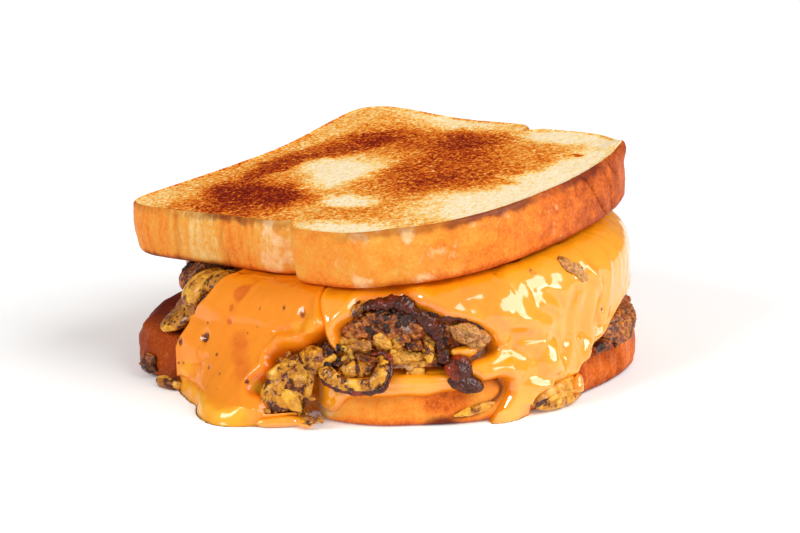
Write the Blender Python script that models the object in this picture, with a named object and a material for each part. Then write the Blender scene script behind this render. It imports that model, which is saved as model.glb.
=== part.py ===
"""Patty melt: a beef patty with melted cheese and fried onions between two griddled slices of loaf.

+X points to the crown (the rounded top) of the loaf slices, +Y across them and +Z up. The melt
stands on the flat underside of its lower slice, with the origin under the middle of its box.
Lengths are in millimetres and angles in degrees, until mesh_object() turns them into metres.

The filling is worked out round one support surface: a low dome under the upper slice that turns
down at a shoulder and runs down past the crust of the lower slice to the floor. A place on it is
an angle round the sandwich and a level, which is the height on the wall, and below FOOT goes on
outwards over the floor. The patty lies just inside that surface; cheese and onions lie outside it.
"""
import math

import bpy
import numpy as np

MM = 0.001
GAP = 0.45                      # clearance between neighbouring pieces
SHIFT = np.array([-0.87, 9.21, 0.0])  # brings the middle of the whole melt onto the origin

# Loaf slices. Length is base to crown, and the notch is the waist below the crown's overhang.
# Half widths, crown powers and the slant of the crown's end are for the near and the far side.
LOWER = {"length": 126.0, "base": (61.0, 60.0), "crown": (64.0, 62.5), "notch_x": 14.5, "notch": 3.0,
         "base_power": 6.2, "crown_power": (2.5, 2.6), "slant": (0.0, 0.0), "sag": 0.0}
UPPER = {"length": 124.0, "base": (54.5, 57.5), "crown": (59.0, 54.5), "notch_x": 9.0, "notch": 3.2,
         "base_power": 11.0, "crown_power": (2.9, 6.0), "slant": (0.0, 0.2), "sag": 3.5}
LOWER_CENTRE = (1.1, 0.6)
LOWER_YAW = 2.0
LOWER_THICK = 14.0
LOWER_ROUND = 4.5               # rounding of the lower slice's upper edge
UPPER_CENTRE = (-3.7, 2.4, 48.6)
UPPER_THICK = 15.7
UPPER_TILT = (5.2, -4.7, -2.5)  # lifts the far side, lifts the crown, yaw
CORNER_CURL = 2.6               # lift of the upper slice's far base corner
CROWN_SAG = 1.2                 # extra thickness of the upper slice at its crown

SLICE_COLUMNS = np.linspace(0.0, 360.0, 72, endpoint=False)  # angles of the slices' columns
PATTY_COLUMNS = 84
SHEET_COLUMNS = {"cheese_right": 64, "cheese_left": 62}

# Filling
PATTY_RADIUS = 65.0
FAR_DRAW = 1.2                  # how far the filling draws in at the far side of the crown
CHEESE = 2.4                    # thickness of a melted sheet
BED_INSETS = (30.0, 15.0, 8.0)  # shared rings, in from the narrower of crust and patty
BED = 0.6                       # lower cheese above the bread
PATTY_BED = BED + CHEESE + 0.8  # patty above the bread
GROOVE = -2.0                   # bed of the patty under a strand of onion
SHOULDER = (9.0, 8.0)           # how far in and how far down the support's shoulder is rounded
FOOT = 4.0                      # level below which the support turns outwards over the floor
PATTY_CLEAR = 1.05              # patty inside the support
CRUST_CLEAR = 0.8               # support wall outside the lower crust
SHEET_ROWS = (0.03, 0.13, 0.28, 0.46, 0.64, 0.80, 0.91, 1.0)  # rows of a sheet, shoulder to hem
DRIFT = 4                       # the columns of a sheet drift sideways mostly near their hem
SKIRT = (-86.0, 30.0, 15.0)     # where the cheese pools outwards: angle, half width, how far

# Hems of the draped cheese, one row a point: angle at the shoulder, angle at the hem, level.
RIGHT_HEM = np.array([
    (-72.0, -72.0, 31.8), (-71.3, -71.2, 29.4), (-70.6, -70.4, 26.6), (-69.9, -69.7, 23.6),
    (-69.2, -69.0, 21.8), (-68.4, -68.3, 23.0), (-67.6, -67.5, 25.8), (-66.6, -66.5, 28.0),
    (-65.0, -64.6, 30.2),
    (-63.2, -62.8, 32.3), (-59.5, -59.5, 33.4), (-55.0, -55.0, 34.2), (-51.0, -51.5, 34.4),
    (-47.0, -47.5, 32.8), (-43.2, -43.0, 31.0), (-39.6, -38.8, 29.6), (-35.6, -34.4, 28.0),
    (-32.2, -31.2, 24.8), (-29.2, -30.2, 21.4), (-27.0, -31.0, 19.0), (-25.6, -32.4, 17.0),
    (-24.8, -33.8, 15.0), (-23.4, -33.2, 13.0), (-22.0, -31.4, 11.6), (-20.6, -28.6, 11.0),
    (-19.2, -27.2, 9.4), (-17.8, -27.6, 6.4), (-16.4, -28.8, 3.0), (-15.0, -29.0, 0.2),
    (-13.6, -26.8, -0.9), (-12.2, -23.6, 0.0), (-10.8, -20.6, 1.6), (-9.2, -17.4, 4.4),
    (-7.2, -13.5, 7.0), (-4.8, -8.7, 7.8), (-2.2, -4.2, 8.2), (0.4, -0.8, 9.8),
    (3.2, 2.4, 12.0), (6.2, 6.0, 14.6), (9.5, 10.0, 16.6), (13.5, 14.5, 19.0),
    (18.0, 20.0, 22.6), (23.5, 26.0, 23.5), (30.0, 32.0, 24.5), (38.0, 39.0, 25.5),
    (46.0, 46.0, 25.0), (53.0, 53.0, 19.0), (59.0, 60.0, 10.0), (65.0, 66.0, 7.0),
    (70.0, 71.0, 12.0), (75.0, 75.0, 22.0), (80.0, 80.0, 31.0)])
LEFT_HEM = np.array([
    (-278.5, -278.5, 31.0), (-272.0, -272.0, 23.0), (-263.0, -264.0, 9.0), (-254.0, -254.0, 3.0),
    (-244.0, -243.0, 5.0), (-232.0, -231.0, 16.0), (-221.0, -221.0, 27.0), (-209.0, -209.0, 30.0),
    (-196.0, -196.0, 25.0), (-184.0, -185.0, 13.0), (-174.0, -174.0, 9.0), (-164.0, -163.0, 14.0),
    (-152.0, -152.0, 25.0), (-141.0, -141.0, 30.0), (-132.0, -132.0, 31.5), (-125.5, -125.5, 31.6),
    (-120.0, -119.4, 31.2), (-116.2, -115.8, 30.2), (-113.6, -113.8, 27.6), (-112.2, -115.2, 23.0),
    (-110.8, -117.0, 16.5), (-109.6, -117.0, 9.5), (-108.4, -115.6, 3.0), (-107.2, -113.2, -1.6),
    (-106.0, -109.6, -4.0), (-104.6, -105.0, -4.9), (-102.9, -100.2, -4.6), (-101.0, -95.5, -6.6),
    (-99.0, -90.5, -8.2), (-96.9, -86.8, -7.0), (-94.8, -83.8, -3.8), (-92.8, -82.0, -0.8),
    (-90.8, -82.4, 3.0), (-88.8, -84.6, 6.8), (-86.9, -85.4, 10.2), (-85.0, -84.6, 13.5),
    (-83.0, -83.0, 16.4), (-80.8, -80.5, 18.2), (-78.4, -77.2, 19.8), (-76.3, -74.2, 23.0),
    (-75.0, -72.8, 26.5), (-74.3, -73.2, 29.5), (-73.7, -73.7, 32.0)])

# Where the patty shows and may stand out of the support: angle, level, half widths, height.
PATTY_SHOWS = ((-51.0, 24.0, 15.5, 8.5, 3.4), (40.0, 17.5, 7.5, 4.0, 2.6),
               (-136.0, 23.5, 8.0, 4.5, 2.6), (-211.0, 21.5, 10.0, 5.5, 3.4))

# Strands of onion: thickness, width, colour, then rows of angle, level and lift along each.
STRANDS = {
    "onion_strand": (1.3, 1.7, "char", [
        (-63.5, 29.6, 0.2), (-59.5, 31.0, 0.3), (-55.0, 31.7, 0.3), (-51.0, 31.8, 0.3),
        (-47.5, 30.0, 0.3), (-44.6, 27.8, 0.4), (-43.0, 24.6, 0.6), (-42.6, 20.8, 0.8)]),
    "onion_curl": (1.5, 1.7, "onion", [
        (-67.4, 18.4, 1.4), (-69.6, 16.9, 2.0), (-69.0, 14.4, 2.3), (-65.5, 12.5, 2.4),
        (-61.0, 12.2, 2.4), (-57.2, 13.8, 2.4), (-55.8, 16.6, 1.8), (-57.6, 18.9, 1.1)]),
    "onion_end_strand": (1.4, 1.8, "onion", [
        (-220.0, 18.6, 0.5), (-215.0, 21.6, 0.3), (-210.0, 20.6, 0.3), (-206.0, 17.6, 0.6),
        (-201.0, 18.6, 0.5)]),
}

# Pieces that lie against the outside: angle, level, half widths, lean, thickness, what they lie
# on, colour. A lean moves the upper end to larger angles.
PADS = {
    "onion_tongue": (-122.6, 23.0, 5.4, 6.6, 1.4, 3.0, "wall", "onion"),
    "onion_clump": (-77.9, 10.4, 5.6, 7.6, -0.6, 3.8, "pool", "onion"),
    "onion_folds": (-75.2, -1.0, 4.7, 2.9, 0.0, 2.6, "pool", "onion"),
    "onion_clump_right": (-9.6, 3.8, 7.6, 3.2, 0.0, 2.6, "wall", "onion"),
    "onion_strip_right": (-34.0, 4.2, 4.4, 1.6, 0.0, 1.8, "wall", "onion"),
    "onion_floor_left": (-118.6, -3.0, 3.0, 3.2, 0.0, 2.6, "wall", "onion"),
    "onion_end_clump": (-216.0, 4.4, 7.0, 3.8, 0.0, 3.0, "wall", "onion"),
    "onion_lump": (-38.5, 13.8, 3.0, 4.3, 0.6, 3.6, "wall", "glaze"),
    "meat_nub_left": (-126.2, 3.6, 2.4, 2.8, 0.0, 2.6, "wall", "meat"),
    "meat_nub_right": (19.8, 15.9, 9.0, 3.8, 1.2, 4.4, "wall", "meat"),
    "meat_bit_right": (-3.0, 36.6, 2.8, 1.6, -0.6, 1.0, "cheese", "meat"),
}

COLOURS = {"crust": (0.62, 0.26, 0.07), "toast": (0.72, 0.38, 0.12), "cheese": (0.95, 0.46, 0.04),
           "deep_cheese": (0.93, 0.38, 0.03), "meat": (0.17, 0.08, 0.035),
           "onion": (0.60, 0.38, 0.10), "char": (0.05, 0.02, 0.012), "glaze": (0.27, 0.06, 0.02)}


def smooth(x):
    """Ease from 0 to 1 with flat ends."""
    x = np.clip(x, 0.0, 1.0)
    return x * x * (3.0 - 2.0 * x)


def through(points, s):
    """Points of a Catmull-Rom curve through rows of numbers, at s from 0 to 1."""
    points = np.asarray(points, dtype=float)
    last = len(points) - 1
    place = np.clip(np.asarray(s, dtype=float), 0.0, 1.0) * last
    index = np.minimum(place.astype(int), last - 1)
    f = (place - index)[..., None]
    a, b, c, d = (points[np.clip(index + k, 0, last)] for k in (-1, 0, 1, 2))
    return b + 0.5 * f * (c - a + f * (2 * a - 5 * b + 4 * c - d + f * (3 * (b - c) + d - a)))


def polar(angle, radius):
    """Plan position of an angle in degrees and a radius about the lower slice's middle."""
    turn = np.radians(angle)
    return LOWER_CENTRE[0] + radius * np.cos(turn), LOWER_CENTRE[1] + radius * np.sin(turn)


# ---------------------------------------------------------------- loaf slices

def loaf_outline(size, count=720):
    """Closed outline of a slice: a superellipse whose power falls from base to crown, widened
    at the crown, with a waist at the notch, and a base edge that sags in at its middle."""
    turn = np.linspace(0.0, 2.0 * math.pi, count, endpoint=False)
    along, across = np.cos(turn), np.sin(turn)
    crownward = 0.5 + 0.5 * np.clip(1.6 * along, -1.0, 1.0)
    crown_power = np.where(across < 0.0, *size["crown_power"])
    power = size["base_power"] + (crown_power - size["base_power"]) * crownward
    reach = (np.abs(along) ** power + np.abs(across) ** power) ** (-1.0 / power)
    x = 0.5 * size["length"] * reach * along
    y = reach * across
    past = smooth((x - size["notch_x"]) / 6.0 + 0.5)
    near = size["base"][0] + (size["crown"][0] - size["base"][0]) * past
    far = size["base"][1] + (size["crown"][1] - size["base"][1]) * past
    side = np.abs(y) > 0.6
    waist = size["notch"] * np.exp(-((x - size["notch_x"]) / 4.0) ** 2) * side
    width = np.where(y < 0.0, near, far) - waist
    slant = np.where(y < 0.0, *size["slant"])
    x = x * (1.0 - slant * np.abs(y) ** 1.5 * smooth(x / 20.0))
    sag = size["sag"] * (x < 0.0) * np.clip(1.0 - (y / 0.9) ** 2, 0.0, 1.0) * (np.abs(y) < 0.9)
    x = x + sag * smooth(-x / 20.0)
    return x, y * width


def loaf_radius(size, angle):
    """Radius of a slice's outline at an angle in degrees about its middle."""
    x, y = loaf_outline(size)
    found = np.degrees(np.arctan2(y, x))
    order = np.argsort(found)
    return np.interp(np.asarray(angle, dtype=float), found[order], np.hypot(x, y)[order], period=360.0)


def lower_edge(angle):
    """Radius of the lower slice's crust."""
    return loaf_radius(LOWER, np.asarray(angle, dtype=float) - LOWER_YAW)


def lower_height(x, y):
    """Height of the lower slice's upper face, which swells at the near base corner."""
    corner = np.exp(-((x + 56.0) / 13.0) ** 2 - ((y + 30.0) / 17.0) ** 2)
    return LOWER_THICK + 4.5 * corner + 0.6 * np.sin(x / 17.0) * np.cos(y / 21.0)


def lower_top(angle, radius):
    """Height of the lower slice's upper face with its edge rounded down to the crust."""
    x, y = polar(angle, radius)
    inward = np.clip(lower_edge(angle) - radius, 0.0, LOWER_ROUND)
    drop = LOWER_ROUND - np.sqrt(LOWER_ROUND ** 2 - (LOWER_ROUND - inward) ** 2)
    return lower_height(x, y) - drop


def upper_turn():
    """Rotation matrix of the upper slice."""
    rx, ry, rz = (math.radians(a) for a in UPPER_TILT)
    about_x = np.array([(1, 0, 0), (0, math.cos(rx), -math.sin(rx)), (0, math.sin(rx), math.cos(rx))])
    about_y = np.array([(math.cos(ry), 0, math.sin(ry)), (0, 1, 0), (-math.sin(ry), 0, math.cos(ry))])
    about_z = np.array([(math.cos(rz), -math.sin(rz), 0), (math.sin(rz), math.cos(rz), 0), (0, 0, 1)])
    return about_x @ about_y @ about_z


def crown_sag(x):
    """How far the upper slice's underside hangs below its plane: most at the crown."""
    return CROWN_SAG * (0.5 + x / UPPER["length"])


def upper_underside(x, y):
    """Height of the upper slice's underside."""
    normal = upper_turn()[:, 2]
    foot = np.array(UPPER_CENTRE) - normal * UPPER_THICK / 2.0
    plane = foot[2] - (normal[0] * (x - foot[0]) + normal[1] * (y - foot[1])) / normal[2]
    return plane - crown_sag(x - UPPER_CENTRE[0])


# ---------------------------------------------------------------- support surface

def fill_radius(angle):
    """Radius of the support wall beside the patty: the round patty, or the slice where that is
    narrower, drawn in a little at the far side of the crown."""
    no_notch = {**LOWER, "notch": 0.0}
    edge = loaf_radius(no_notch, np.asarray(angle, dtype=float) - LOWER_YAW) + 2.0
    drawn_in = FAR_DRAW * np.exp(-(((np.asarray(angle) + 180.0) % 360.0 - 222.0) / 24.0) ** 2)
    return -3.0 * np.log(np.exp(-edge / 3.0) + math.exp(-PATTY_RADIUS / 3.0)) - drawn_in


def wall_radius(angle, height):
    """Support wall: outside the crust low down, at the patty's radius higher up."""
    low = lower_edge(angle) + CRUST_CLEAR
    return low + (fill_radius(angle) - low) * smooth((height - 13.0) / 9.0)


def support_height(x, y):
    """Height of the support under the upper slice, one cheese sheet and two gaps below it."""
    return upper_underside(x, y) - CHEESE - 2.0 * GAP


def shoulder(angle):
    """Radius and height at which the support starts to turn down."""
    radius = fill_radius(angle) - SHOULDER[0]
    return radius, support_height(*polar(angle, radius))


def skirt(angle, height):
    """How far the cheese pool stands out of the support wall: most at the floor."""
    away = (np.asarray(angle, dtype=float) - SKIRT[0] + 180.0) % 360.0 - 180.0
    return SKIRT[2] * smooth(1.0 - np.abs(away) / SKIRT[1]) * smooth((27.0 - height) / 26.0)


def support(angle, level, pooled=1.0):
    """Radius and height of the support at an angle and a level, with or without the pool."""
    start, top = shoulder(angle)
    turn_end = top - SHOULDER[1]
    cosine = np.clip(1.0 - (top - level) / SHOULDER[1], 0.0, 1.0)
    on_shoulder = start + SHOULDER[0] * np.sqrt(1.0 - cosine ** 2)
    under = np.maximum(FOOT - level, 0.0)
    height = np.where(level >= FOOT, np.minimum(level, top), FOOT * np.exp(-under / FOOT))
    spread = under - FOOT * (1.0 - np.exp(-under / FOOT))
    on_wall = wall_radius(angle, height) + spread + pooled * skirt(angle, height)
    return np.where(level > turn_end, on_shoulder, on_wall), height


def lifted(angle, level, lift, pooled=1.0):
    """World position at a distance outside the support."""
    angle, level, lift = np.broadcast_arrays(angle, level, lift)
    step = 0.4
    level = np.minimum(level, shoulder(angle)[1] - 0.02)
    r0, z0 = support(angle, level + step / 2.0, pooled)
    r1, z1 = support(angle, level - step / 2.0, pooled)
    long = np.hypot(r1 - r0, z1 - z0) + 1e-9
    radius, height = support(angle, level, pooled)
    x, y = polar(angle, radius + lift * (z0 - z1) / long)
    return np.stack([x, y, height + lift * (r1 - r0) / long], axis=-1)


# ---------------------------------------------------------------- meshes

def material(name, colour, rough):
    """Plain Principled material."""
    made = bpy.data.materials.new(name)
    made.use_nodes = True
    shader = made.node_tree.nodes["Principled BSDF"]
    shader.inputs["Base Color"].default_value = (*COLOURS[colour], 1.0)
    shader.inputs["Roughness"].default_value = rough
    return made


def mesh_object(name, points, faces, colour, rough):
    """One object from points in millimetres; faces point outwards."""
    mesh = bpy.data.meshes.new(name)
    mesh.from_pydata(((np.asarray(points) + SHIFT) * MM).tolist(), [], faces)
    mesh.validate()
    mesh.shade_smooth()
    mesh.materials.append(material(name + "_surface", colour, rough))
    made = bpy.data.objects.new(name, mesh)
    bpy.context.scene.collection.objects.link(made)
    return made


def closed_rings(name, first, rings, last, colour, rough):
    """A closed body: a point, rings of points that run anticlockwise seen from the last point
    side to side, and a point. first is the top and last the bottom."""
    rings = np.asarray(rings)
    rows, columns = rings.shape[:2]
    points = np.concatenate([[first], rings.reshape(-1, 3), [last]])
    end = len(points) - 1
    faces = []
    for c in range(columns):
        n = (c + 1) % columns
        faces.append((0, 1 + c, 1 + n))
        faces.append((end, 1 + (rows - 1) * columns + n, 1 + (rows - 1) * columns + c))
        for r in range(rows - 1):
            a, b = 1 + r * columns, 1 + (r + 1) * columns
            faces.append((a + c, b + c, b + n))
            faces.append((a + c, b + n, a + n))
    return mesh_object(name, points, faces, colour, rough)


def closed_sheet(name, outer, inner, colour, rough):
    """A closed body between two grids of the same shape, joined round their border."""
    rows, columns = outer.shape[:2]
    points = np.concatenate([outer.reshape(-1, 3), inner.reshape(-1, 3)])
    under = rows * columns
    faces = []
    for r in range(rows - 1):
        for c in range(columns - 1):
            a, b = r * columns + c, r * columns + c + 1
            d, e = a + columns, b + columns
            faces += [(a, d, e), (a, e, b)]
            faces += [(under + a, under + e, under + d), (under + a, under + b, under + e)]
    border = [(r * columns, (r + 1) * columns) for r in range(rows - 1)]
    border += [((rows - 1) * columns + c, (rows - 1) * columns + c + 1) for c in range(columns - 1)]
    border += [((r + 1) * columns - 1, r * columns - 1) for r in range(rows - 1, 0, -1)]
    border += [(c, c - 1) for c in range(columns - 1, 0, -1)]
    for a, b in border:
        faces += [(a, under + b, b), (a, under + a, under + b)]
    return mesh_object(name, points, faces, colour, rough)


# ---------------------------------------------------------------- bread

def bed_radii(angle):
    """Radii of the rings that the lower slice and the cheese on it share, so that they nest."""
    inner = np.minimum(lower_edge(angle), fill_radius(angle))
    return [inner - inset for inset in BED_INSETS]


def lower_slice():
    """Lower slice: flat underside, rounded crust that bulges at half height, swollen corner."""
    angle = SLICE_COLUMNS
    edge = lower_edge(angle)
    rings = []
    for radius in bed_radii(angle):
        rings.append(np.stack([*polar(angle, radius), lower_top(angle, radius)], axis=-1))
    for inset in (4.5, 2.2, 0.8):
        radius = edge - inset
        rings.append(np.stack([*polar(angle, radius), lower_top(angle, radius)], axis=-1))
    for inset, height in ((0.0, 9.0), (0.0, 5.0), (0.6, 1.8), (1.8, 0.0)):
        rings.append(np.stack([*polar(angle, edge - inset), np.full_like(angle, height)], axis=-1))
    rings.append(np.stack([*polar(angle, 0.6 * edge), np.zeros_like(angle)], axis=-1))
    top = (*LOWER_CENTRE, float(lower_height(*LOWER_CENTRE)))
    return closed_rings("bread_bottom", top, rings, (*LOWER_CENTRE, 0.0), "crust", 0.6)


def upper_slice():
    """Upper slice: a thick tilted slab with crisp upper edges and one corner curled up."""
    angle = SLICE_COLUMNS
    edge = loaf_radius(UPPER, angle)
    half = UPPER_THICK / 2.0
    place = [(0.45, 0.0, half), (0.8, 0.0, half), (1.0, 4.6, half), (1.0, 2.4, half - 0.4),
             (1.0, 1.4, half - 2.2), (1.0, 0.2, 1.0), (1.0, -0.6, -3.5), (1.0, 0.3, 1.6 - half),
             (1.0, 3.0, -half), (0.75, 0.0, -half), (0.4, 0.0, -half)]
    turn = upper_turn()

    def put(radius, height):
        x, y = radius * np.cos(np.radians(angle)), radius * np.sin(np.radians(angle))
        curl = CORNER_CURL * smooth((-x - 15.0) / 45.0) * smooth((y - 5.0) / 50.0)
        under = crown_sag(x) * (0.5 - height / UPPER_THICK)
        local = np.stack([x, y, height + curl - under], axis=-1)
        return local @ turn.T + np.array(UPPER_CENTRE)

    rings = [put(share * edge - inset, height) for share, inset, height in place]
    first = np.array(UPPER_CENTRE) + turn[:, 2] * half
    last = np.array(UPPER_CENTRE) - turn[:, 2] * half
    return closed_rings("bread_top", first, rings, last, "toast", 0.55)


# ---------------------------------------------------------------- filling

def lower_cheese():
    """Sheet under the patty, which shows and rolls over the crust where the patty shows."""
    angle = SLICE_COLUMNS
    signed = (angle + 180.0) % 360.0 - 180.0
    shows = smooth((signed + 80.0) / 6.0) * smooth((-36.0 - signed) / 5.0)
    hidden = np.minimum(lower_edge(angle), fill_radius(angle)) - 2.0
    rim = hidden + (lower_edge(angle) - 0.9 - hidden) * shows
    rim = rim + 0.8 * np.sin(np.radians(9.0 * angle)) * (1.0 - shows)
    rings = []
    bed = bed_radii(angle)
    edges = [(rim - 3.6, CHEESE), (rim - 1.3, 0.95 * CHEESE), (rim - 0.3, 0.7 * CHEESE),
             (rim, 0.3 * CHEESE), (rim - 0.5, 0.0), (rim - 1.3, 0.0), (rim - 3.6, 0.0)]
    for radius, lift in [(r, CHEESE) for r in bed] + edges + [(r, 0.0) for r in bed[::-1]]:
        rings.append(np.stack([*polar(angle, radius), lower_top(angle, radius) + BED + lift], axis=-1))
    base = float(lower_height(*LOWER_CENTRE)) + BED
    return closed_rings("cheese_lower", (*LOWER_CENTRE, base + CHEESE), rings, (*LOWER_CENTRE, base),
                        "cheese", 0.3)


def crags(angle, level, seed, size, count):
    """Lumps of ground meat from 0 to 1: the highest of many round bumps spread over the wall."""
    draw = np.random.default_rng(seed)
    at_angle = draw.uniform(-180.0, 180.0, count)
    at_level = draw.uniform(14.0, 42.0, count)
    wide = draw.uniform(0.7, 1.3, count) * size
    along = (angle[..., None] - at_angle + 180.0) % 360.0 - 180.0
    along = along * math.radians(1.0) * PATTY_RADIUS
    far = np.hypot(along, level[..., None] - at_level) / wide
    return np.sqrt(np.clip(1.0 - far ** 2, 0.0, 1.0)).max(axis=-1)


def patty_columns():
    """Angles of the patty's columns: closer together where it shows."""
    fine = np.linspace(-180.0, 180.0, 1441)
    dense = np.ones_like(fine)
    for angle, _, half_angle, _, _ in PATTY_SHOWS:
        away = np.abs((fine - angle + 180.0) % 360.0 - 180.0)
        dense += 1.5 * smooth((half_angle + 4.0 - away) / 4.0)
    total = np.cumsum(dense)
    total = (total - total[0]) / (total[-1] - total[0])
    return np.interp(np.linspace(0.0, 1.0, PATTY_COLUMNS, endpoint=False), total, fine)


def strand_distance(angle, level):
    """Distance in millimetres to the nearest strand, measured on the wall."""
    nearest = np.full(np.shape(angle), 99.0)
    for _, _, _, route in STRANDS.values():
        for at_angle, at_level, _ in through(route, np.linspace(0.0, 1.0, 25)):
            along = ((angle - at_angle + 180.0) % 360.0 - 180.0) * math.radians(1.0) * PATTY_RADIUS
            nearest = np.minimum(nearest, np.hypot(along, level - at_level))
    return nearest


def patty_relief(angle, level):
    """How far the patty stands outside the support: below it where cheese lies on it, and in
    lumps outside it where it shows."""
    lumps = 0.65 * crags(angle, level, 5, 6.0, 330) + 0.35 * crags(angle, level, 8, 3.2, 900)
    relief = -PATTY_CLEAR - 1.4 * (1.0 - lumps)
    for at, height, half_angle, half_height, stand in PATTY_SHOWS:
        away = (angle - at + 180.0) % 360.0 - 180.0
        window = 1.0 - (away / half_angle) ** 2 - ((level - height) / half_height) ** 2
        relief = relief + stand * np.sqrt(np.clip(window, 0.0, 1.0)) * lumps
    groove = np.exp(-(strand_distance(angle, level) / 3.6) ** 4)
    return relief - np.maximum(relief - GROOVE, 0.0) * groove


def patty():
    """Beef patty that fills the space between the slices, craggy where it shows."""
    angle = patty_columns()
    start, top = shoulder(angle)
    rings = []
    for share in (0.45, 0.8):
        x, y = polar(angle, share * start)
        rings.append(np.stack([x, y, support_height(x, y) - PATTY_CLEAR], axis=-1))
    bottom = lower_top(angle, lower_edge(angle) - 8.0) + PATTY_BED
    for share in (0.02, 0.12, 0.28, 0.43, 0.57, 0.70, 0.82, 0.92):
        level = top - (top - bottom) * share
        rings.append(lifted(angle, level, patty_relief(angle, level), 0.0))
    for inset in (5.5, 12.0, 34.0):
        radius = fill_radius(angle) - inset
        height = lower_top(angle, np.minimum(radius, lower_edge(angle))) + PATTY_BED
        rings.append(np.stack([*polar(angle, radius), height], axis=-1))
    x, y = LOWER_CENTRE
    first = (x, y, float(support_height(x, y)) - PATTY_CLEAR)
    last = (x, y, float(lower_height(x, y)) + PATTY_BED)
    return closed_rings("patty", first, rings, last, "meat", 0.7)


def edge_round(rows, columns, width):
    """Share of the full thickness over a sheet's grid: full inside, thin at its border."""
    r = np.minimum(np.arange(rows)[::-1], width) / width
    c = np.minimum(np.minimum(np.arange(columns), np.arange(columns)[::-1]), width) / width
    rise = np.minimum(r[:, None], c[None, :])
    return 0.3 + 0.7 * np.sqrt(1.0 - (1.0 - rise) ** 2)


def draped_cheese(name, hem, colour):
    """A sheet over half of the patty. Its columns start on the seam, a straight line across the
    sandwich between the two ends of the hem, run out to the shoulder and go down the wall."""
    columns = SHEET_COLUMNS[name]
    s = np.linspace(0.0, 1.0, columns)
    shoulder_angle, hem_angle, hem_level = through(hem, s).T
    start, top = shoulder(shoulder_angle)
    out_x, out_y = polar(shoulder_angle, start)
    span = (shoulder_angle - shoulder_angle[0]) / (shoulder_angle[-1] - shoulder_angle[0])
    seam_x = out_x[0] + (out_x[-1] - out_x[0]) * span
    seam_y = out_y[0] + (out_y[-1] - out_y[0]) * span
    inner, lifts = [], []
    for share in (0.0, 0.6):
        x, y = seam_x + (out_x - seam_x) * share, seam_y + (out_y - seam_y) * share
        inner.append(np.stack([x, y, support_height(x, y)], axis=-1))
    wall = np.array(SHEET_ROWS)[:, None]
    angle = shoulder_angle + (hem_angle - shoulder_angle) * wall ** DRIFT
    level = top + (np.minimum(hem_level, top - 0.3) - top) * wall
    grid = np.concatenate([np.stack(inner), lifted(angle, level, 0.0, 0.0)])
    thick = CHEESE * edge_round(grid.shape[0], columns, 2)
    upper = np.array([0.0, 0.0, 1.0]) * thick[:2, :, None] + grid[:2]
    lower = lifted(angle, level, thick[2:])
    return closed_sheet(name, np.concatenate([upper, lower]), grid, colour, 0.25)


# ---------------------------------------------------------------- onions and loose bits

def strand(name):
    """A strand of onion: an ellipse carried along its route over the support, thin at its ends."""
    thick, wide, colour, route = STRANDS[name]
    steps = 2 * len(route)
    s = np.linspace(0.0, 1.0, steps + 2)
    angle, level, lift = through(route, s).T
    centre = lifted(angle, level, lift, 0.0)
    normal = lifted(angle, level, lift + 1.0, 0.0) - centre
    tangent = np.gradient(centre, axis=0)
    side = np.cross(tangent, normal)
    side /= np.linalg.norm(side, axis=1, keepdims=True)
    around = np.linspace(0.0, 2.0 * math.pi, 8, endpoint=False)[None, :, None]
    taper = np.sqrt(np.clip(1.0 - np.abs(2.0 * s - 1.0) ** 6, 0.02, 1.0))
    uneven = taper * (1.0 + 0.15 * np.sin(9.0 * s + thick))
    rings = centre[:, None] + uneven[:, None, None] * (
        wide * np.cos(around) * side[:, None] + thick * np.sin(around) * normal[:, None])
    return closed_rings(name, centre[0], rings[1:-1], centre[-1], colour, 0.45)


def pad(name):
    """A lumpy piece against the outside of the sandwich: a dome over an uneven round patch."""
    at, height, half_angle, half_height, lean, thick, lies_on, colour = PADS[name]
    pooled = 1.0 if lies_on == "pool" else 0.0
    base = GAP + (CHEESE if lies_on == "cheese" else 0.0)
    around = np.linspace(0.0, 2.0 * math.pi, 12, endpoint=False)
    seed = abs(at)
    reach = 1.0 + 0.05 * np.sin(3.0 * around + seed) + 0.04 * np.sin(5.0 * around + 2.0 * seed)

    def place(share, lift, pool):
        across, up = share * reach * np.cos(around) / 1.09, share * reach * np.sin(around) / 1.09
        return lifted(at + half_angle * across + lean * up, height + half_height * up, lift, pool)

    bumps = 0.82 + 0.18 * np.sin(4.0 * around + seed)
    rings = [place(0.5, base + thick * (0.8 + 0.2 * bumps), pooled),
             place(0.86, base + thick * 0.75 * bumps, pooled), place(1.0, base + thick * 0.25, 0.5 * pooled),
             place(0.92, base, 0.0), place(0.7, base, 0.0), place(0.35, base, 0.0)]
    first = lifted(at, height, base + thick, pooled)
    last = lifted(at, height, base, 0.0)
    return closed_rings(name, first, rings, last, colour, 0.45)


def main():
    for old in list(bpy.data.objects):
        bpy.data.objects.remove(old, do_unlink=True)
    lower_slice()
    upper_slice()
    lower_cheese()
    patty()
    draped_cheese("cheese_right", RIGHT_HEM, "cheese")
    draped_cheese("cheese_left", LEFT_HEM, "deep_cheese")
    for name in STRANDS:
        strand(name)
    for name in PADS:
        pad(name)


main()
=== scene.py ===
"""Dresses the patty melt: griddled loaf slices, draped cheese, a seared patty and fried onions.

Every fine piece is worked out from the same named sizes as the solids, in millimetres, and turned
into metres in put(). The filling follows one support surface: a low dome under the upper slice
that turns down at a shoulder and runs down past the lower crust to the floor. A place on it is an
angle round the sandwich and a level, which is a height on the wall, and below FOOT goes on
outwards over the floor.
"""
import itertools
import math

import bpy
import numpy as np
from mathutils import Matrix


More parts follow.
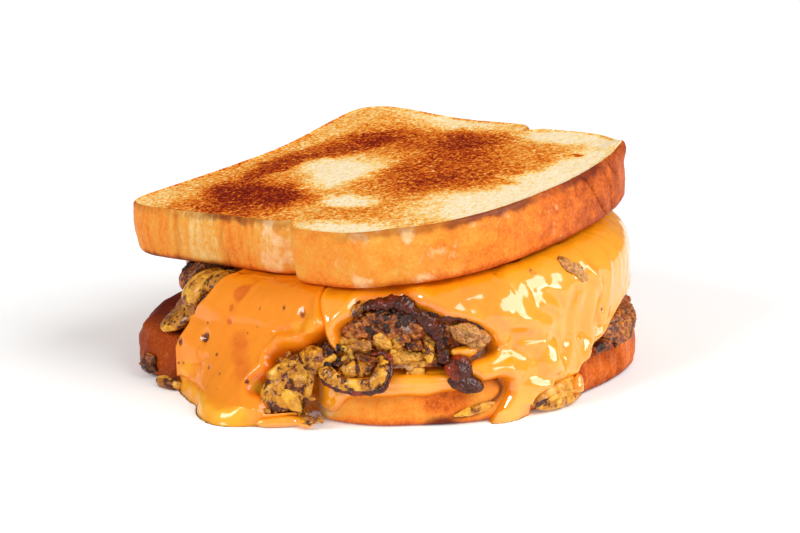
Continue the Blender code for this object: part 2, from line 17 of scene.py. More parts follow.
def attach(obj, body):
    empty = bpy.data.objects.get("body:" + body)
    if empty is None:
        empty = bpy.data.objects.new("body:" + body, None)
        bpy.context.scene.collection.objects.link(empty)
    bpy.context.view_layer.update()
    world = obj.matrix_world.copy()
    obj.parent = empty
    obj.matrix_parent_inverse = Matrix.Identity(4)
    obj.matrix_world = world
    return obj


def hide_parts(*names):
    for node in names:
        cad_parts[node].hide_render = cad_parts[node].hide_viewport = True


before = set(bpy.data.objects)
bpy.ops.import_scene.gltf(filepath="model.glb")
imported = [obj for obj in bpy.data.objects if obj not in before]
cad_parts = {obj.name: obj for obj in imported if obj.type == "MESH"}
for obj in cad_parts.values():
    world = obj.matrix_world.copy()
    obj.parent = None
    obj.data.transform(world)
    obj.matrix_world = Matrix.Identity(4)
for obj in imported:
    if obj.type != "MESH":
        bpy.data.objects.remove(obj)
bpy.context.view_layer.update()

MM = 0.001
SHIFT = np.array([-0.87, 9.21, 0.0])

# ---------------------------------------------------------------- sizes shared with the solids

# All in millimetres and degrees. A slice's outline has a near and a far half width at its base and
# at its crown, powers for how square its corners are, and a notch between the base and the crown.
GAP = 0.45  # between one layer and the next
LOWER = {"length": 126.0, "base": (61.0, 60.0), "crown": (64.0, 62.5), "notch_x": 14.5, "notch": 3.0,
         "base_power": 6.2, "crown_power": (2.5, 2.6), "slant": (0.0, 0.0), "sag": 0.0}
UPPER = {"length": 124.0, "base": (54.5, 57.5), "crown": (59.0, 54.5), "notch_x": 9.0, "notch": 3.2,
         "base_power": 11.0, "crown_power": (2.9, 6.0), "slant": (0.0, 0.2), "sag": 3.5}
LOWER_CENTRE = (1.1, 0.6)
LOWER_YAW = 2.0
LOWER_THICK = 14.0
LOWER_ROUND = 4.5  # of its upper edge
UPPER_CENTRE = (-3.7, 2.4, 48.6)
UPPER_THICK = 15.7
UPPER_TILT = (5.2, -4.7, -2.5)
CORNER_CURL = 2.6  # up, at the far base corner
CROWN_SAG = 1.2  # of the upper slice's underside, at the crown
PATTY_RADIUS = 65.0
FAR_DRAW = 1.2  # how far the filling is drawn in at the far side of the crown
CHEESE = 2.4  # thickness of a sheet
SHOULDER_ACROSS, SHOULDER_DOWN = 9.0, 8.0
FOOT = 4.0  # level below which the wall runs out over the floor
CRUST_CLEAR = 0.8  # between the lower crust and the wall
SKIRT_MIDDLE, SKIRT_HALF, SKIRT_REACH = -86.0, 30.0, 15.0  # the pool of cheese


def unit(x):
    """Numbers kept from 0 to 1."""
    return np.clip(x, 0.0, 1.0)


def bell(x):
    """A bell curve, 1 at x = 0: e to the power of minus x squared."""
    return np.exp(-x ** 2)


def smooth(x):
    """Ease from 0 to 1 with flat ends."""
    x = unit(x)
    return x * x * (3.0 - 2.0 * x)


def dome(x):
    """Height of a round dome of radius 1 at a distance x from its middle, and 0 outside it."""
    return np.sqrt(unit(1.0 - x ** 2))


def wrapped(angle):
    """The same angle between -180 and 180 degrees."""
    return (angle + 180.0) % 360.0 - 180.0


def through(points, s):
    """Points of a Catmull-Rom curve through rows of numbers, at s from 0 to 1."""
    points = np.asarray(points, dtype=float)
    last = len(points) - 1
    place = unit(np.asarray(s, dtype=float)) * last
    index = np.minimum(place.astype(int), last - 1)
    f = (place - index)[..., None]
    a, b, c, d = (points[np.clip(index + k, 0, last)] for k in (-1, 0, 1, 2))
    return b + 0.5 * f * (c - a + f * (2 * a - 5 * b + 4 * c - d + f * (3 * (b - c) + d - a)))


def polar(angle, radius):
    """Plan position of an angle in degrees and a radius about the lower slice's middle."""
    turn = np.radians(angle)
    return LOWER_CENTRE[0] + radius * np.cos(turn), LOWER_CENTRE[1] + radius * np.sin(turn)


def loaf_outline(size):
    """Closed outline of a slice: a superellipse whose power falls from base to crown, widened
    at the crown, with a waist at the notch, and a base edge that sags in at its middle."""
    turn = np.linspace(0.0, 2.0 * math.pi, 720, endpoint=False)
    along, across = np.cos(turn), np.sin(turn)
    crownward = 0.5 + 0.5 * np.clip(1.6 * along, -1.0, 1.0)
    crown_power = np.where(across < 0.0, *size["crown_power"])
    power = size["base_power"] + (crown_power - size["base_power"]) * crownward
    reach = (np.abs(along) ** power + np.abs(across) ** power) ** (-1.0 / power)
    x = 0.5 * size["length"] * reach * along
    y = reach * across
    past = smooth((x - size["notch_x"]) / 6.0 + 0.5)
    near, far = (base + (crown - base) * past for base, crown in zip(size["base"], size["crown"]))
    side = np.abs(y) > 0.6
    waist = size["notch"] * bell((x - size["notch_x"]) / 4.0) * side
    width = np.where(y < 0.0, near, far) - waist
    slant = np.where(y < 0.0, *size["slant"])
    x = x * (1.0 - slant * np.abs(y) ** 1.5 * smooth(x / 20.0))
    sag = size["sag"] * (x < 0.0) * unit(1.0 - (y / 0.9) ** 2) * (np.abs(y) < 0.9)
    x = x + sag * smooth(-x / 20.0)
    return x, y * width


def loaf_radius(size, angle):
    """Radius of a slice's outline at an angle in degrees about its middle."""
    x, y = loaf_outline(size)
    found = np.degrees(np.arctan2(y, x))
    order = np.argsort(found)
    return np.interp(np.asarray(angle, dtype=float), found[order], np.hypot(x, y)[order], period=360.0)


def lower_edge(angle):
    """Radius of the lower slice's crust."""
    return loaf_radius(LOWER, np.asarray(angle, dtype=float) - LOWER_YAW)


def lower_height(x, y):
    """Height of the lower slice's upper face, which swells at the near base corner."""
    corner = np.exp(-((x + 56.0) / 13.0) ** 2 - ((y + 30.0) / 17.0) ** 2)
    return LOWER_THICK + 4.5 * corner + 0.6 * np.sin(x / 17.0) * np.cos(y / 21.0)


def lower_top(angle, radius):
    """Height of the lower slice's upper face with its edge rounded down to the crust."""
    x, y = polar(angle, radius)
    inward = np.clip(lower_edge(angle) - radius, 0.0, LOWER_ROUND)
    drop = LOWER_ROUND - np.sqrt(LOWER_ROUND ** 2 - (LOWER_ROUND - inward) ** 2)
    return lower_height(x, y) - drop


def upper_turn():
    """Rotation matrix of the upper slice."""
    rx, ry, rz = (math.radians(a) for a in UPPER_TILT)
    about_x = np.array([(1, 0, 0), (0, math.cos(rx), -math.sin(rx)), (0, math.sin(rx), math.cos(rx))])
    about_y = np.array([(math.cos(ry), 0, math.sin(ry)), (0, 1, 0), (-math.sin(ry), 0, math.cos(ry))])
    about_z = np.array([(math.cos(rz), -math.sin(rz), 0), (math.sin(rz), math.cos(rz), 0), (0, 0, 1)])
    return about_x @ about_y @ about_z


def crown_sag(x):
    """How far the upper slice's underside hangs below its plane: most at the crown."""
    return CROWN_SAG * (0.5 + x / UPPER["length"])


def upper_underside(x, y):
    """Height of the upper slice's underside."""
    normal = upper_turn()[:, 2]
    foot = np.array(UPPER_CENTRE) - normal * UPPER_THICK / 2.0
    plane = foot[2] - (normal[0] * (x - foot[0]) + normal[1] * (y - foot[1])) / normal[2]
    return plane - crown_sag(x - UPPER_CENTRE[0])


def fill_radius(angle):
    """Radius of the support wall beside the patty: the round patty, or the slice where that is
    narrower, drawn in a little at the far side of the crown."""
    no_notch = {**LOWER, "notch": 0.0}
    edge = loaf_radius(no_notch, np.asarray(angle, dtype=float) - LOWER_YAW) + 2.0
    drawn_in = FAR_DRAW * bell(((np.asarray(angle) + 180.0) % 360.0 - 222.0) / 24.0)
    return -3.0 * np.log(np.exp(-edge / 3.0) + math.exp(-PATTY_RADIUS / 3.0)) - drawn_in


def wall_radius(angle, height):
    """Support wall: outside the crust low down, at the patty's radius higher up."""
    low = lower_edge(angle) + CRUST_CLEAR
    return low + (fill_radius(angle) - low) * smooth((height - 13.0) / 9.0)


def support_height(x, y):
    """Height of the support under the upper slice, one cheese sheet and two gaps below it."""
    return upper_underside(x, y) - CHEESE - 2.0 * GAP


def shoulder(angle):
    """Radius and height at which the support starts to turn down."""
    radius = fill_radius(angle) - SHOULDER_ACROSS
    return radius, support_height(*polar(angle, radius))


def skirt(angle, height):
    """How far the cheese pool stands out of the support wall: most at the floor."""
    away = np.abs(wrapped(np.asarray(angle, dtype=float) - SKIRT_MIDDLE))
    return SKIRT_REACH * smooth(1.0 - away / SKIRT_HALF) * smooth((27.0 - height) / 26.0)


def support(angle, level, pooled=1.0):
    """Radius and height of the support at an angle and a level, with or without the pool."""
    start, top = shoulder(angle)
    turn_end = top - SHOULDER_DOWN
    cosine = unit(1.0 - (top - level) / SHOULDER_DOWN)
    on_shoulder = start + SHOULDER_ACROSS * dome(cosine) + pooled * skirt(angle, level)
    under = np.maximum(FOOT - level, 0.0)
    height = np.where(level >= FOOT, np.minimum(level, top), FOOT * np.exp(-under / FOOT))
    spread = under - FOOT * (1.0 - np.exp(-under / FOOT))
    on_wall = wall_radius(angle, height) + spread + pooled * skirt(angle, height)
    return np.where(level > turn_end, on_shoulder, on_wall), height


def lifted(angle, level, lift, pooled=1.0):
    """World position at a distance outside the support."""
    angle, level, lift = np.broadcast_arrays(angle, level, lift)
    step = 0.4
    level = np.minimum(level, shoulder(angle)[1] - 0.02)
    r0, z0 = support(angle, level + step / 2.0, pooled)
    r1, z1 = support(angle, level - step / 2.0, pooled)
    long = np.hypot(r1 - r0, z1 - z0) + 1e-9
    radius, height = support(angle, level, pooled)
    x, y = polar(angle, radius + lift * (z0 - z1) / long)
    return np.stack([x, y, height + lift * (r1 - r0) / long], axis=-1)


# ---------------------------------------------------------------- roughness of food

def lattice(points, size):
    """Places in cell sizes and the whole numbers of their cells, an array for each direction."""
    place = np.ascontiguousarray(np.moveaxis(points / size, -1, 0))
    return place, np.floor(place).astype(np.int64)


def dice(cell, seed):
    """A repeatable number from 0 to 1 for each cell."""
    x, y, z = cell
    h = (x * 374761393 + y * 668265263 + z * 1440662683 + seed * 362437) & 0xFFFFFFFF
    for shift, factor in ((13, 1274126177), (16, 2246822519)):
        h = ((h ^ (h >> shift)) * factor) & 0xFFFFFFFF
    return ((h ^ (h >> 15)) & 0xFFFFFF) / 0xFFFFFF


def waves(points, size, seed, octaves=1, gain=0.5):
    """Smooth noise from -1 to 1: random numbers on a lattice of the given size, eased between
    its corners, with finer octaves added at half the size and gain times the height."""
    total, height, reach = 0.0, 1.0, 0.0
    for octave in range(octaves):
        place, whole = lattice(points, size)
        eased = smooth(place - whole)
        value = 0.0
        for corner in itertools.product((0, 1), repeat=3):
            x, y, z = (f if c else 1.0 - f for f, c in zip(eased, corner))
            value = value + x * y * z * dice([w + c for w, c in zip(whole, corner)], seed + octave)
        total = total + height * (2.0 * value - 1.0)
        reach += height
        height *= gain
        size = size * 0.5
    return total / reach


def drift(points, size, seed, octaves=1):
    """Three waves at once: a push for each point in all three directions."""
    return np.stack([waves(points, size, seed + k, octaves) for k in range(3)], axis=-1)


def grains(points, size, seed):
    """Packed round grains: the distance, in cell sizes, to the nearest of one random point in each
    lattice cell, and that grain's own random number."""
    place, whole = lattice(points, size)
    nearest, own = 9.0, 0.0
    for corner in itertools.product((-1, 0, 1), repeat=3):
        cell = [w + c for w, c in zip(whole, corner)]
        x, y, z = (cell[k] + dice(cell, seed + apart) - place[k] for k, apart in enumerate((0, 71, 137)))
        away = np.sqrt(x ** 2 + y ** 2 + z ** 2)
        own = np.where(away < nearest, dice(cell, seed + 211), own)
        nearest = np.minimum(nearest, away)
    return nearest, own


def patch(x, y, at_x, at_y, half_x, half_y, turn=0.0, soft=0.7):
    """A round patch: 1 in its middle, easing to 0 a quarter outside its half widths, over the soft
    share of the way."""
    c, s = math.cos(math.radians(turn)), math.sin(math.radians(turn))
    dx, dy = x - at_x, y - at_y
    far = np.hypot((c * dx + s * dy) / (1.25 * half_x), (c * dy - s * dx) / (1.25 * half_y))
    return smooth((1.0 - far) / soft)


def along_wall(angle):
    """Degrees round the wall in millimetres."""
    return np.asarray(angle, dtype=float) * math.radians(1.0) * PATTY_RADIUS


def side_distance(x, y, ax, ay, bx, by):
    """Distance to the straight side from one point to another."""
    ex, ey = bx - ax, by - ay
    t = unit(((x - ax) * ex + (y - ay) * ey) / (ex * ex + ey * ey + 1e-9))
    return np.hypot(x - ax - t * ex, y - ay - t * ey)


def path_distance(angle, level, route):
    """Distance in millimetres, measured on the wall, to a curve through (angle, level) places."""
    curve = through(route, np.linspace(0.0, 1.0, 40))
    px, py = along_wall(curve[:, 0]), curve[:, 1]
    nearest = 1e9
    for side in zip(px[:-1], py[:-1], px[1:], py[1:]):
        nearest = np.minimum(nearest, side_distance(along_wall(angle), level, *side))
    return nearest


# ---------------------------------------------------------------- meshes

def ring_at(angle, radius, height):
    """Points at angles and radii about the lower slice's middle, and at a height."""
    return np.stack(np.broadcast_arrays(*polar(angle, radius), height), axis=-1)


def ring_fields(fields):
    """Fields for ring_body(), with the mean of the first and of the last ring at its end points."""
    return {name: np.concatenate([[v[0].mean()], v.ravel(), [v[-1].mean()]]) for name, v in fields.items()}


def ring_body(first, rings, last):
    """Points and faces of a closed body: a point, rings from top to bottom, and a point."""
    rows, columns = rings.shape[:2]
    points = np.concatenate([[first], rings.reshape(-1, 3), [last]])
    here = 1 + np.arange(rows * columns).reshape(rows, columns)
    beside = np.roll(here, -1, axis=1)
    end = np.full(columns, len(points) - 1)
    caps = np.concatenate([np.stack([0 * end, here[0], beside[0]], axis=1),
                           np.stack([end, beside[-1], here[-1]], axis=1)])
    quads = np.stack([here[:-1], here[1:], beside[1:], beside[:-1]], axis=-1).reshape(-1, 4)
    return points, caps, quads


def sheet_body(outer, inner, keep):
    """Points, faces and kept point numbers of a closed body between two grids, over the cells
    in keep and walled in along their border."""
    rows, columns = outer.shape[:2]
    count = rows * columns
    here = np.arange(count).reshape(rows, columns)
    cell = np.stack([here[:-1, :-1], here[1:, :-1], here[1:, 1:], here[:-1, 1:]], axis=-1)[keep]
    edges = np.concatenate([cell[:, [k, (k + 1) % 4]] for k in range(4)])
    forward = edges[:, 0] * count + edges[:, 1]
    backward = edges[:, 1] * count + edges[:, 0]
    u, v = edges[~np.isin(forward, backward)].T
    walls = np.stack([v, u, u + count, v + count], axis=-1)
    quads = np.concatenate([cell, cell[:, ::-1] + count, walls])
    used, quads = np.unique(quads, return_inverse=True)
    points = np.concatenate([outer.reshape(-1, 3), inner.reshape(-1, 3)])[used]
    return points, quads.reshape(-1, 4), used % count


def put(name, points, caps, quads, slot, stands_for, fields, second=None):
    """One smooth piece from points in millimetres. caps are its triangles. Its slot says its
    finishes, and stands_for names the solid it replaces, if any. fields are numbers that each
    point carries for its finish. second marks the faces of the second finish."""
    name = name.replace(" ", "_")
    mesh = bpy.data.meshes.new(name)
    world = (np.asarray(points, dtype=float) + SHIFT) * MM
    loops = np.concatenate([np.ravel(caps), np.ravel(quads)]).astype(np.int32)
    starts = np.concatenate([3 * np.arange(len(caps)), 3 * len(caps) + 4 * np.arange(len(quads))])
    mesh.vertices.add(len(world))
    mesh.vertices.foreach_set("co", world.ravel())
    mesh.loops.add(len(loops))
    mesh.loops.foreach_set("vertex_index", loops)
    mesh.polygons.add(len(starts))
    mesh.polygons.foreach_set("loop_start", starts.astype(np.int32))
    for finish in FINISHES[slot]:
        mesh.materials.append(finish)
    if second is not None:
        mesh.polygons.foreach_set("material_index", np.asarray(second, dtype=np.int32))
    mesh.update(calc_edges=True)
    for field, values in fields.items():
        made = mesh.attributes.new(field, "FLOAT", "POINT")
        made.data.foreach_set("value", np.ravel(values).astype(np.float32))
    mesh.validate()
    mesh.shade_smooth()
    piece = bpy.data.objects.new(name, mesh)
    bpy.context.scene.collection.objects.link(piece)
    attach(piece, "root")
    if stands_for:
        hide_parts(stands_for)


# ---------------------------------------------------------------- finishes

def colour(code):
    """A linear colour from an sRGB hex code."""
    parts = [int(code[k:k + 2], 16) / 255.0 for k in (1, 3, 5)]
    return (*[c / 12.92 if c <= 0.04045 else ((c + 0.055) / 1.055) ** 2.4 for c in parts], 1.0)


def add(tree, kind, links=None, stops=(), **settings):
    """Adds a node. links gives its sockets' values, or the sockets that feed them, and stops the
    places and colours of a ramp."""
    made = tree.nodes.new(kind)
    for key, value in settings.items():
        setattr(made, key, value)
    for key, value in (links or {}).items():
        if isinstance(value, bpy.types.NodeSocket):
            tree.links.new(value, made.inputs[key])
        else:
            made.inputs[key].default_value = value
    for k, (place, code) in enumerate(stops):
        stop = made.color_ramp.elements[k] if k < 2 else made.color_ramp.elements.new(place)
        stop.position = place
        stop.color = colour(code)
    return made


def start_finish(name):
    """A new material, its node tree, its shader and the object's own coordinates."""
    made = bpy.data.materials.new(name)
    made.use_nodes = True
    tree = made.node_tree
    place = add(tree, "ShaderNodeTexCoord").outputs["Object"]
    return made, tree, tree.nodes["Principled BSDF"], place


def value_of(tree, name):
    """A number that the mesh carries at its points."""
    return add(tree, "ShaderNodeAttribute", attribute_name=name).outputs["Fac"]


def noise(tree, place, size, detail, rough):
    """Noise whose cells are size millimetres wide."""
    links = {"Vector": place, "Scale": 1.0 / (size * MM), "Detail": detail, "Roughness": rough}
    return add(tree, "ShaderNodeTexNoise", links).outputs["Fac"]


def math_of(tree, operation, *values):
    """The result of one sum on numbers or sockets."""
    return add(tree, "ShaderNodeMath", dict(enumerate(values)), operation=operation).outputs[0]


def scaled(tree, value, factor, plus):
    """A value times a factor, and something added."""
    return math_of(tree, "MULTIPLY_ADD", value, factor, plus)


def between(tree, value, low, high):
    """0 where a value is low or below, rising to 1 where it is high or above."""
    return add(tree, "ShaderNodeMapRange", {0: value, 1: low, 2: high}).outputs[0]


def clamped(tree, value):
    """A value kept from 0 to 1."""
    return add(tree, "ShaderNodeClamp", {0: value}).outputs[0]


def ramp_of(tree, value, *stops):
    """A colour by a value, from the two end stops and then those between them."""
    return add(tree, "ShaderNodeValToRGB", {0: value}, stops=stops).outputs[0]


def blend(tree, share, first, second):
    """Mixes two colours, given as hex codes or sockets."""
    ends = [colour(c) if isinstance(c, str) else c for c in (first, second)]
    return add(tree, "ShaderNodeMix", {0: share, 6: ends[0], 7: ends[1]}, data_type="RGBA").outputs[2]


def bumped(tree, height, deep, strength=1.0, under=None):
    """A normal for a height from 0 to 1 that stands for deep millimetres."""
    links = {"Height": height, "Distance": deep * MM, "Strength": strength}
    if under is not None:
        links["Normal"] = under
    return add(tree, "ShaderNodeBump", links).outputs["Normal"]


def set_shader(tree, shader, **links):
    """Sets or feeds shader sockets, named with underscores for spaces."""
    for key, value in links.items():
        socket = shader.inputs[key.replace("_", " ")]
        if isinstance(value, bpy.types.NodeSocket):
            tree.links.new(value, socket)
        else:
            socket.default_value = value


def toasted_face():
    """Bread face browned in butter on a griddle: a dry, porous surface from cream to red-brown."""
    made, tree, shader, place = start_finish("griddled bread face")
    brown = value_of(tree, "brown")
    coarse = noise(tree, place, 2.4, 5.0, 0.68)
    fine = noise(tree, place, 0.95, 3.0, 0.65)
    pores = add(tree, "ShaderNodeTexVoronoi", {"Vector": place, "Scale": 1.0 / (1.3 * MM)},
                feature="F1").outputs["Distance"]
    mottle = scaled(tree, coarse, 1.3, scaled(tree, fine, 2.3, -1.8))
    mixed = scaled(tree, mottle, scaled(tree, brown, 0.95, 0.34), brown)
    toast = ramp_of(tree, mixed, (0.0, "#fbe6c0"), (1.0, "#701200"), (0.12, "#fad27c"), (0.22, "#f6b554"),
                    (0.34, "#ec942e"), (0.47, "#df7414"), (0.62, "#c65408"), (0.80, "#a03002"))
    bump = bumped(tree, pores, 0.5, 0.45, bumped(tree, coarse, 0.7, 0.35))
    set_shader(tree, shader, Base_Color=toast, Roughness=0.75, Normal=bump, Specular_IOR_Level=0.1)
    return made


def baked_crust():
    """Side crust of the loaf: a thin satin skin, pale gold to orange-brown, scorched at edges, with
    streaks down its pleats and a grain like pores. Painted into its colour are a whitish sheen where
    it is glossy, pale specks as tiny glints, and shade in its cracks and gaps, darkened with the scorching."""
    made, tree, shader, place = start_finish("baked loaf crust")
    scorch_and_shade, pleats, gloss = (value_of(tree, name) for name in ("scorch_and_shade", "pleated", "gloss"))
    upright = add(tree, "ShaderNodeMapping", {"Vector": place, "Scale": (1.0, 1.0, 0.22)}).outputs[0]
    streaks = add(tree, "ShaderNodeMix", {0: pleats, 2: noise(tree, place, 4.5, 4.0, 0.6),
                                          3: noise(tree, upright, 2.2, 4.0, 0.65)}).outputs[0]
    grain = noise(tree, place, 1.0, 3.0, 0.7)
    spread = scaled(tree, pleats, 0.3, 0.7)
    mixed = scaled(tree, math_of(tree, "SUBTRACT", streaks, 0.5), spread, value_of(tree, "tone"))
    mixed = math_of(tree, "ADD", mixed, scaled(tree, grain, 0.60, -0.30))
    whole = ramp_of(tree, mixed, (0.0, "#ecc684"), (1.0, "#a03e06"), (0.25, "#e6a040"), (0.5, "#ea882a"),
                    (0.75, "#d4651a"))
    # Painted sheen: whitish patches blended in where the crust is glossy, standing for glare on its grease.
    greasy = between(tree, scaled(tree, gloss, 0.45, noise(tree, place, 3.0, 5.0, 0.65)), 0.72, 1.0)
    whole = blend(tree, math_of(tree, "MULTIPLY", greasy, 0.75), whole, "#fad2a0")
    # Painted glints: tiny pale specks on the crust's grain.
    painted_glints = between(tree, noise(tree, place, 0.45, 1.0, 0.5), 0.62, 0.8)
    whole = blend(tree, math_of(tree, "MULTIPLY", painted_glints, 0.4), whole, "#fbc47c")
    # Scorching and painted shade (in cracks, along the tear and in the gap under the lower crust) darken the
    # colour together.
    burnt_and_shaded = math_of(tree, "ADD", scorch_and_shade, scaled(tree, streaks, 0.5, -0.25))
    burnt_and_shaded = math_of(tree, "MULTIPLY", math_of(tree, "GREATER_THAN", scorch_and_shade, 0.001), burnt_and_shaded)
    whole = blend(tree, clamped(tree, burnt_and_shaded), whole, "#641f12")
    bump = bumped(tree, grain, 0.25, 0.35, bumped(tree, streaks, 0.6, 0.3))
    set_shader(tree, shader, Base_Color=whole, Normal=bump, Roughness=0.5, Specular_IOR_Level=0.1,
               Coat_Weight=math_of(tree, "MULTIPLY", gloss, 0.4), Coat_Roughness=0.2)
    return made


def melted_cheese(name, body, deep_body, rough, coat):
    """Melted cheese slice: smooth, oily and a little translucent, deeper in thin patches, paler where
    it pools, with stains of meat juice. The deeper colour is also painted along the sheets' rims and
    in the hollows of lumps, as a warm tint of the shade there."""
    made, tree, shader, place = start_finish(name)
    deep = math_of(tree, "ADD", value_of(tree, "deep"),
                   scaled(tree, noise(tree, place, 14.0, 2.0, 0.5), 0.9, -0.45))
    base = blend(tree, clamped(tree, deep), body, deep_body)
    base = blend(tree, value_of(tree, "pale"), base, "#fcb22a")
    stain = scaled(tree, noise(tree, place, 0.9, 1.0, 0.4), 0.8, value_of(tree, "stain"))
    base = blend(tree, between(tree, stain, 0.75, 1.15), base, "#74300e")
    bump = bumped(tree, noise(tree, place, 2.4, 2.0, 0.5), 0.12, 0.25)
    set_shader(tree, shader, Base_Color=base, Normal=bump, Roughness=rough, Specular_IOR_Level=0.12,
               Coat_Weight=coat, Coat_Roughness=0.3 * rough, Coat_IOR=2.0, Subsurface_Weight=0.25,
               Subsurface_Radius=(1.0, 0.45, 0.12), Subsurface_Scale=1.6 * MM)
    return made


def seared_beef():
    """Ground beef seared on a griddle: moist brown crumbs, gilded with cheese, grey where they are only
    steamed, and with charred tops; its char also carries painted shade in the hollows between crumbs."""
    made, tree, shader, place = start_finish("seared ground beef")
    crumb = noise(tree, place, 1.3, 3.0, 0.65)
    speck = noise(tree, place, 0.8, 2.0, 0.6)
    whole = ramp_of(tree, crumb, (0.30, "#461402"), (0.72, "#d88a30"), (0.45, "#863606"), (0.58, "#b86416"))
    for field, spots, strength, held_back, full, tint in (
            ("gold", speck, 0.9, 0.75, 0.35, "#e8aa3c"), ("grey", crumb, 0.8, 0.8, 0.3, "#b08c78"),
            ("char", speck, 0.8, 0.7, 0.3, "#2e0e04")):
        share = scaled(tree, spots, strength, math_of(tree, "SUBTRACT", value_of(tree, field), held_back))
        whole = blend(tree, between(tree, share, 0.0, full), whole, tint)
    bump = bumped(tree, crumb, 0.6, 0.7, bumped(tree, noise(tree, place, 0.5, 1.0, 0.5), 0.2, 0.4))
    set_shader(tree, shader, Base_Color=whole, Normal=bump, Roughness=0.32, Specular_IOR_Level=0.4)
    return made


def fried_onion(name, pale, mid, dark, rough):
    """Fried onion: soft and greasy, olive gold to brown, with dark singed flecks."""
    made, tree, shader, place = start_finish(name)
    patchy = noise(tree, place, 2.6, 3.0, 0.6)
    # char also carries painted shade in the hollows of lumps.
    char = value_of(tree, "char")
    shade = math_of(tree, "ADD", patchy, math_of(tree, "MULTIPLY", char, 0.45))
    whole = ramp_of(tree, shade, (0.36, pale), (0.95, dark), (0.6, mid))
    fleck = between(tree, scaled(tree, char, 0.25, noise(tree, place, 1.2, 2.0, 0.6)), 0.64, 0.76)
    whole = blend(tree, fleck, whole, "#4c1e04")
    set_shader(tree, shader, Base_Color=whole, Normal=bumped(tree, patchy, 0.5, 0.5), Roughness=rough,
               Specular_IOR_Level=0.4, Subsurface_Weight=0.1, Subsurface_Radius=(1.0, 0.6, 0.2),
               Subsurface_Scale=0.8 * MM)
    return made


CRUST = baked_crust()
FINISHES = {
    "bread_toast": [toasted_face(), CRUST],
    "bread_crust": [CRUST],
    "cheese_yellow": [melted_cheese("melted cheese, golden", "#fc9e10", "#f6860a", 0.2, 0.75)],
    "cheese_orange": [melted_cheese("melted cheese, orange", "#f68e0e", "#de6402", 0.27, 0.3)],
    "meat": [seared_beef()],
    "onion": [fried_onion("fried onion", "#eeb43a", "#cf8a20", "#8a460a", 0.28)],
    "onion_dark": [fried_onion("caramelised onion", "#96300a", "#5a1a06", "#260a04", 0.22)],
}


# ---------------------------------------------------------------- bread

# Browning of the toasted face, in the slice's own millimetres from its middle (x to the crown, y to
# the far side): middle, half widths, turn, and how much browner (or, below 0, paler) it is.
BROWNING = (
    (54.0, 5.0, 15.0, 50.0, 6.0, -0.46), (30.0, 48.0, 24.0, 10.0, -10.0, -0.36),
    (28.0, -55.0, 24.0, 11.0, 8.0, -0.36), (44.0, -28.0, 15.0, 20.0, 30.0, -0.24),
    (12.0, -30.0, 12.0, 6.5, 0.0, -0.44), (-20.0, 54.0, 34.0, 7.0, 0.0, -0.20),
    (-53.0, 32.0, 8.0, 28.0, 0.0, -0.14), (-50.0, -42.0, 9.0, 18.0, 0.0, -0.14),
    (-17.0, -2.0, 18.0, 13.0, -14.0, -0.35), (-11.0, -14.0, 11.0, 10.0, 0.0, -0.27),
    (-22.0, -34.0, 23.0, 11.0, -6.0, 0.52), (-14.0, -31.0, 14.0, 5.0, 0.0, 0.22),
    (-26.0, -36.0, 25.0, 17.0, 0.0, 0.28), (-42.0, -8.0, 9.0, 22.0, 8.0, 0.50),
    (-35.0, 20.0, 11.0, 19.0, -8.0, 0.36), (-16.0, 31.0, 26.0, 15.0, 10.0, 0.30),
    (0.0, 41.0, 17.0, 11.0, -16.0, 0.22), (6.0, 26.0, 19.0, 14.0, 0.0, 0.24),
    (17.0, 1.0, 26.0, 26.0, 0.0, 0.30), (27.0, -8.0, 16.0, 14.0, -20.0, 0.10),
    (-20.0, -48.0, 27.0, 6.0, 0.0, 0.2), (-24.0, -56.0, 24.0, 2.0, 0.0, 0.5),
    (42.5, 28.5, 2.2, 2.0, 0.0, 0.5), (58.0, 26.0, 3.0, 4.0, 20.0, 0.7),
)
# Tone of the upper crust (0 pale gold to 1 dark), its scorched top edge and its gloss, which also
# paints a whitish sheen into the colour, by angle about the slice's middle.
UPPER_TONE = np.array([
    (-180, 0.6, 0.2, 0.1), (-150, 0.56, 0.3, 0.1), (-136, 0.54, 0.3, 0.1), (-124, 0.38, 0.3, 0.2),
    (-119, 0.16, 0.4, 0.5), (-111, 0.22, 0.7, 0.3), (-107, 0.54, 0.8, 0.1), (-99, 0.46, 0.8, 0.1),
    (-93, 0.28, 0.6, 0.8), (-84, 0.22, 0.4, 0.8), (-79, 0.30, 0.1, 0.2), (-74, 0.40, 0.0, 0.0),
    (-64, 0.42, 0.1, 0.2), (-58, 0.36, 0.4, 0.85), (-44, 0.38, 0.5, 0.9), (-36, 0.50, 0.8, 0.4),
    (-10, 0.68, 0.9, 0.3), (0, 0.78, 0.7, 0.4), (14, 0.88, 0.9, 0.1), (22, 0.92, 0.8, 0.1),
    (40, 0.92, 0.3, 0.1), (90, 0.7, 0.3, 0.1), (180, 0.6, 0.2, 0.1)])
# Cracks down the upper crust, darkened with painted shade: angle, lean in degrees for a millimetre up, half
# width and depth.
UPPER_CRACKS = ((18.0, -0.8, 0.4, 0.9), (26.5, -0.3, 0.4, 0.9), (-79.0, 0.0, 0.7, 0.6),
                (-124.0, 0.1, 0.5, 0.4), (-108.5, 0.0, 0.6, 0.4), (32.0, -0.5, 0.5, 0.7))
# Radii of the upper slice's edges, and of the lower slice's foot, in section.
FACE_ROUND, UNDER_ROUND, FOOT_ROUND = 1.5, 2.6, 2.2


def upper_place(x, y, height):
    """World position of a point of the upper slice, with its curled corner and sagging crown."""
    curl = CORNER_CURL * smooth((-x - 15.0) / 45.0) * smooth((y - 5.0) / 50.0)
    under = crown_sag(x) * (0.5 - height / UPPER_THICK)
    return np.stack([x, y, height + curl - under], axis=-1) @ upper_turn().T + np.array(UPPER_CENTRE)


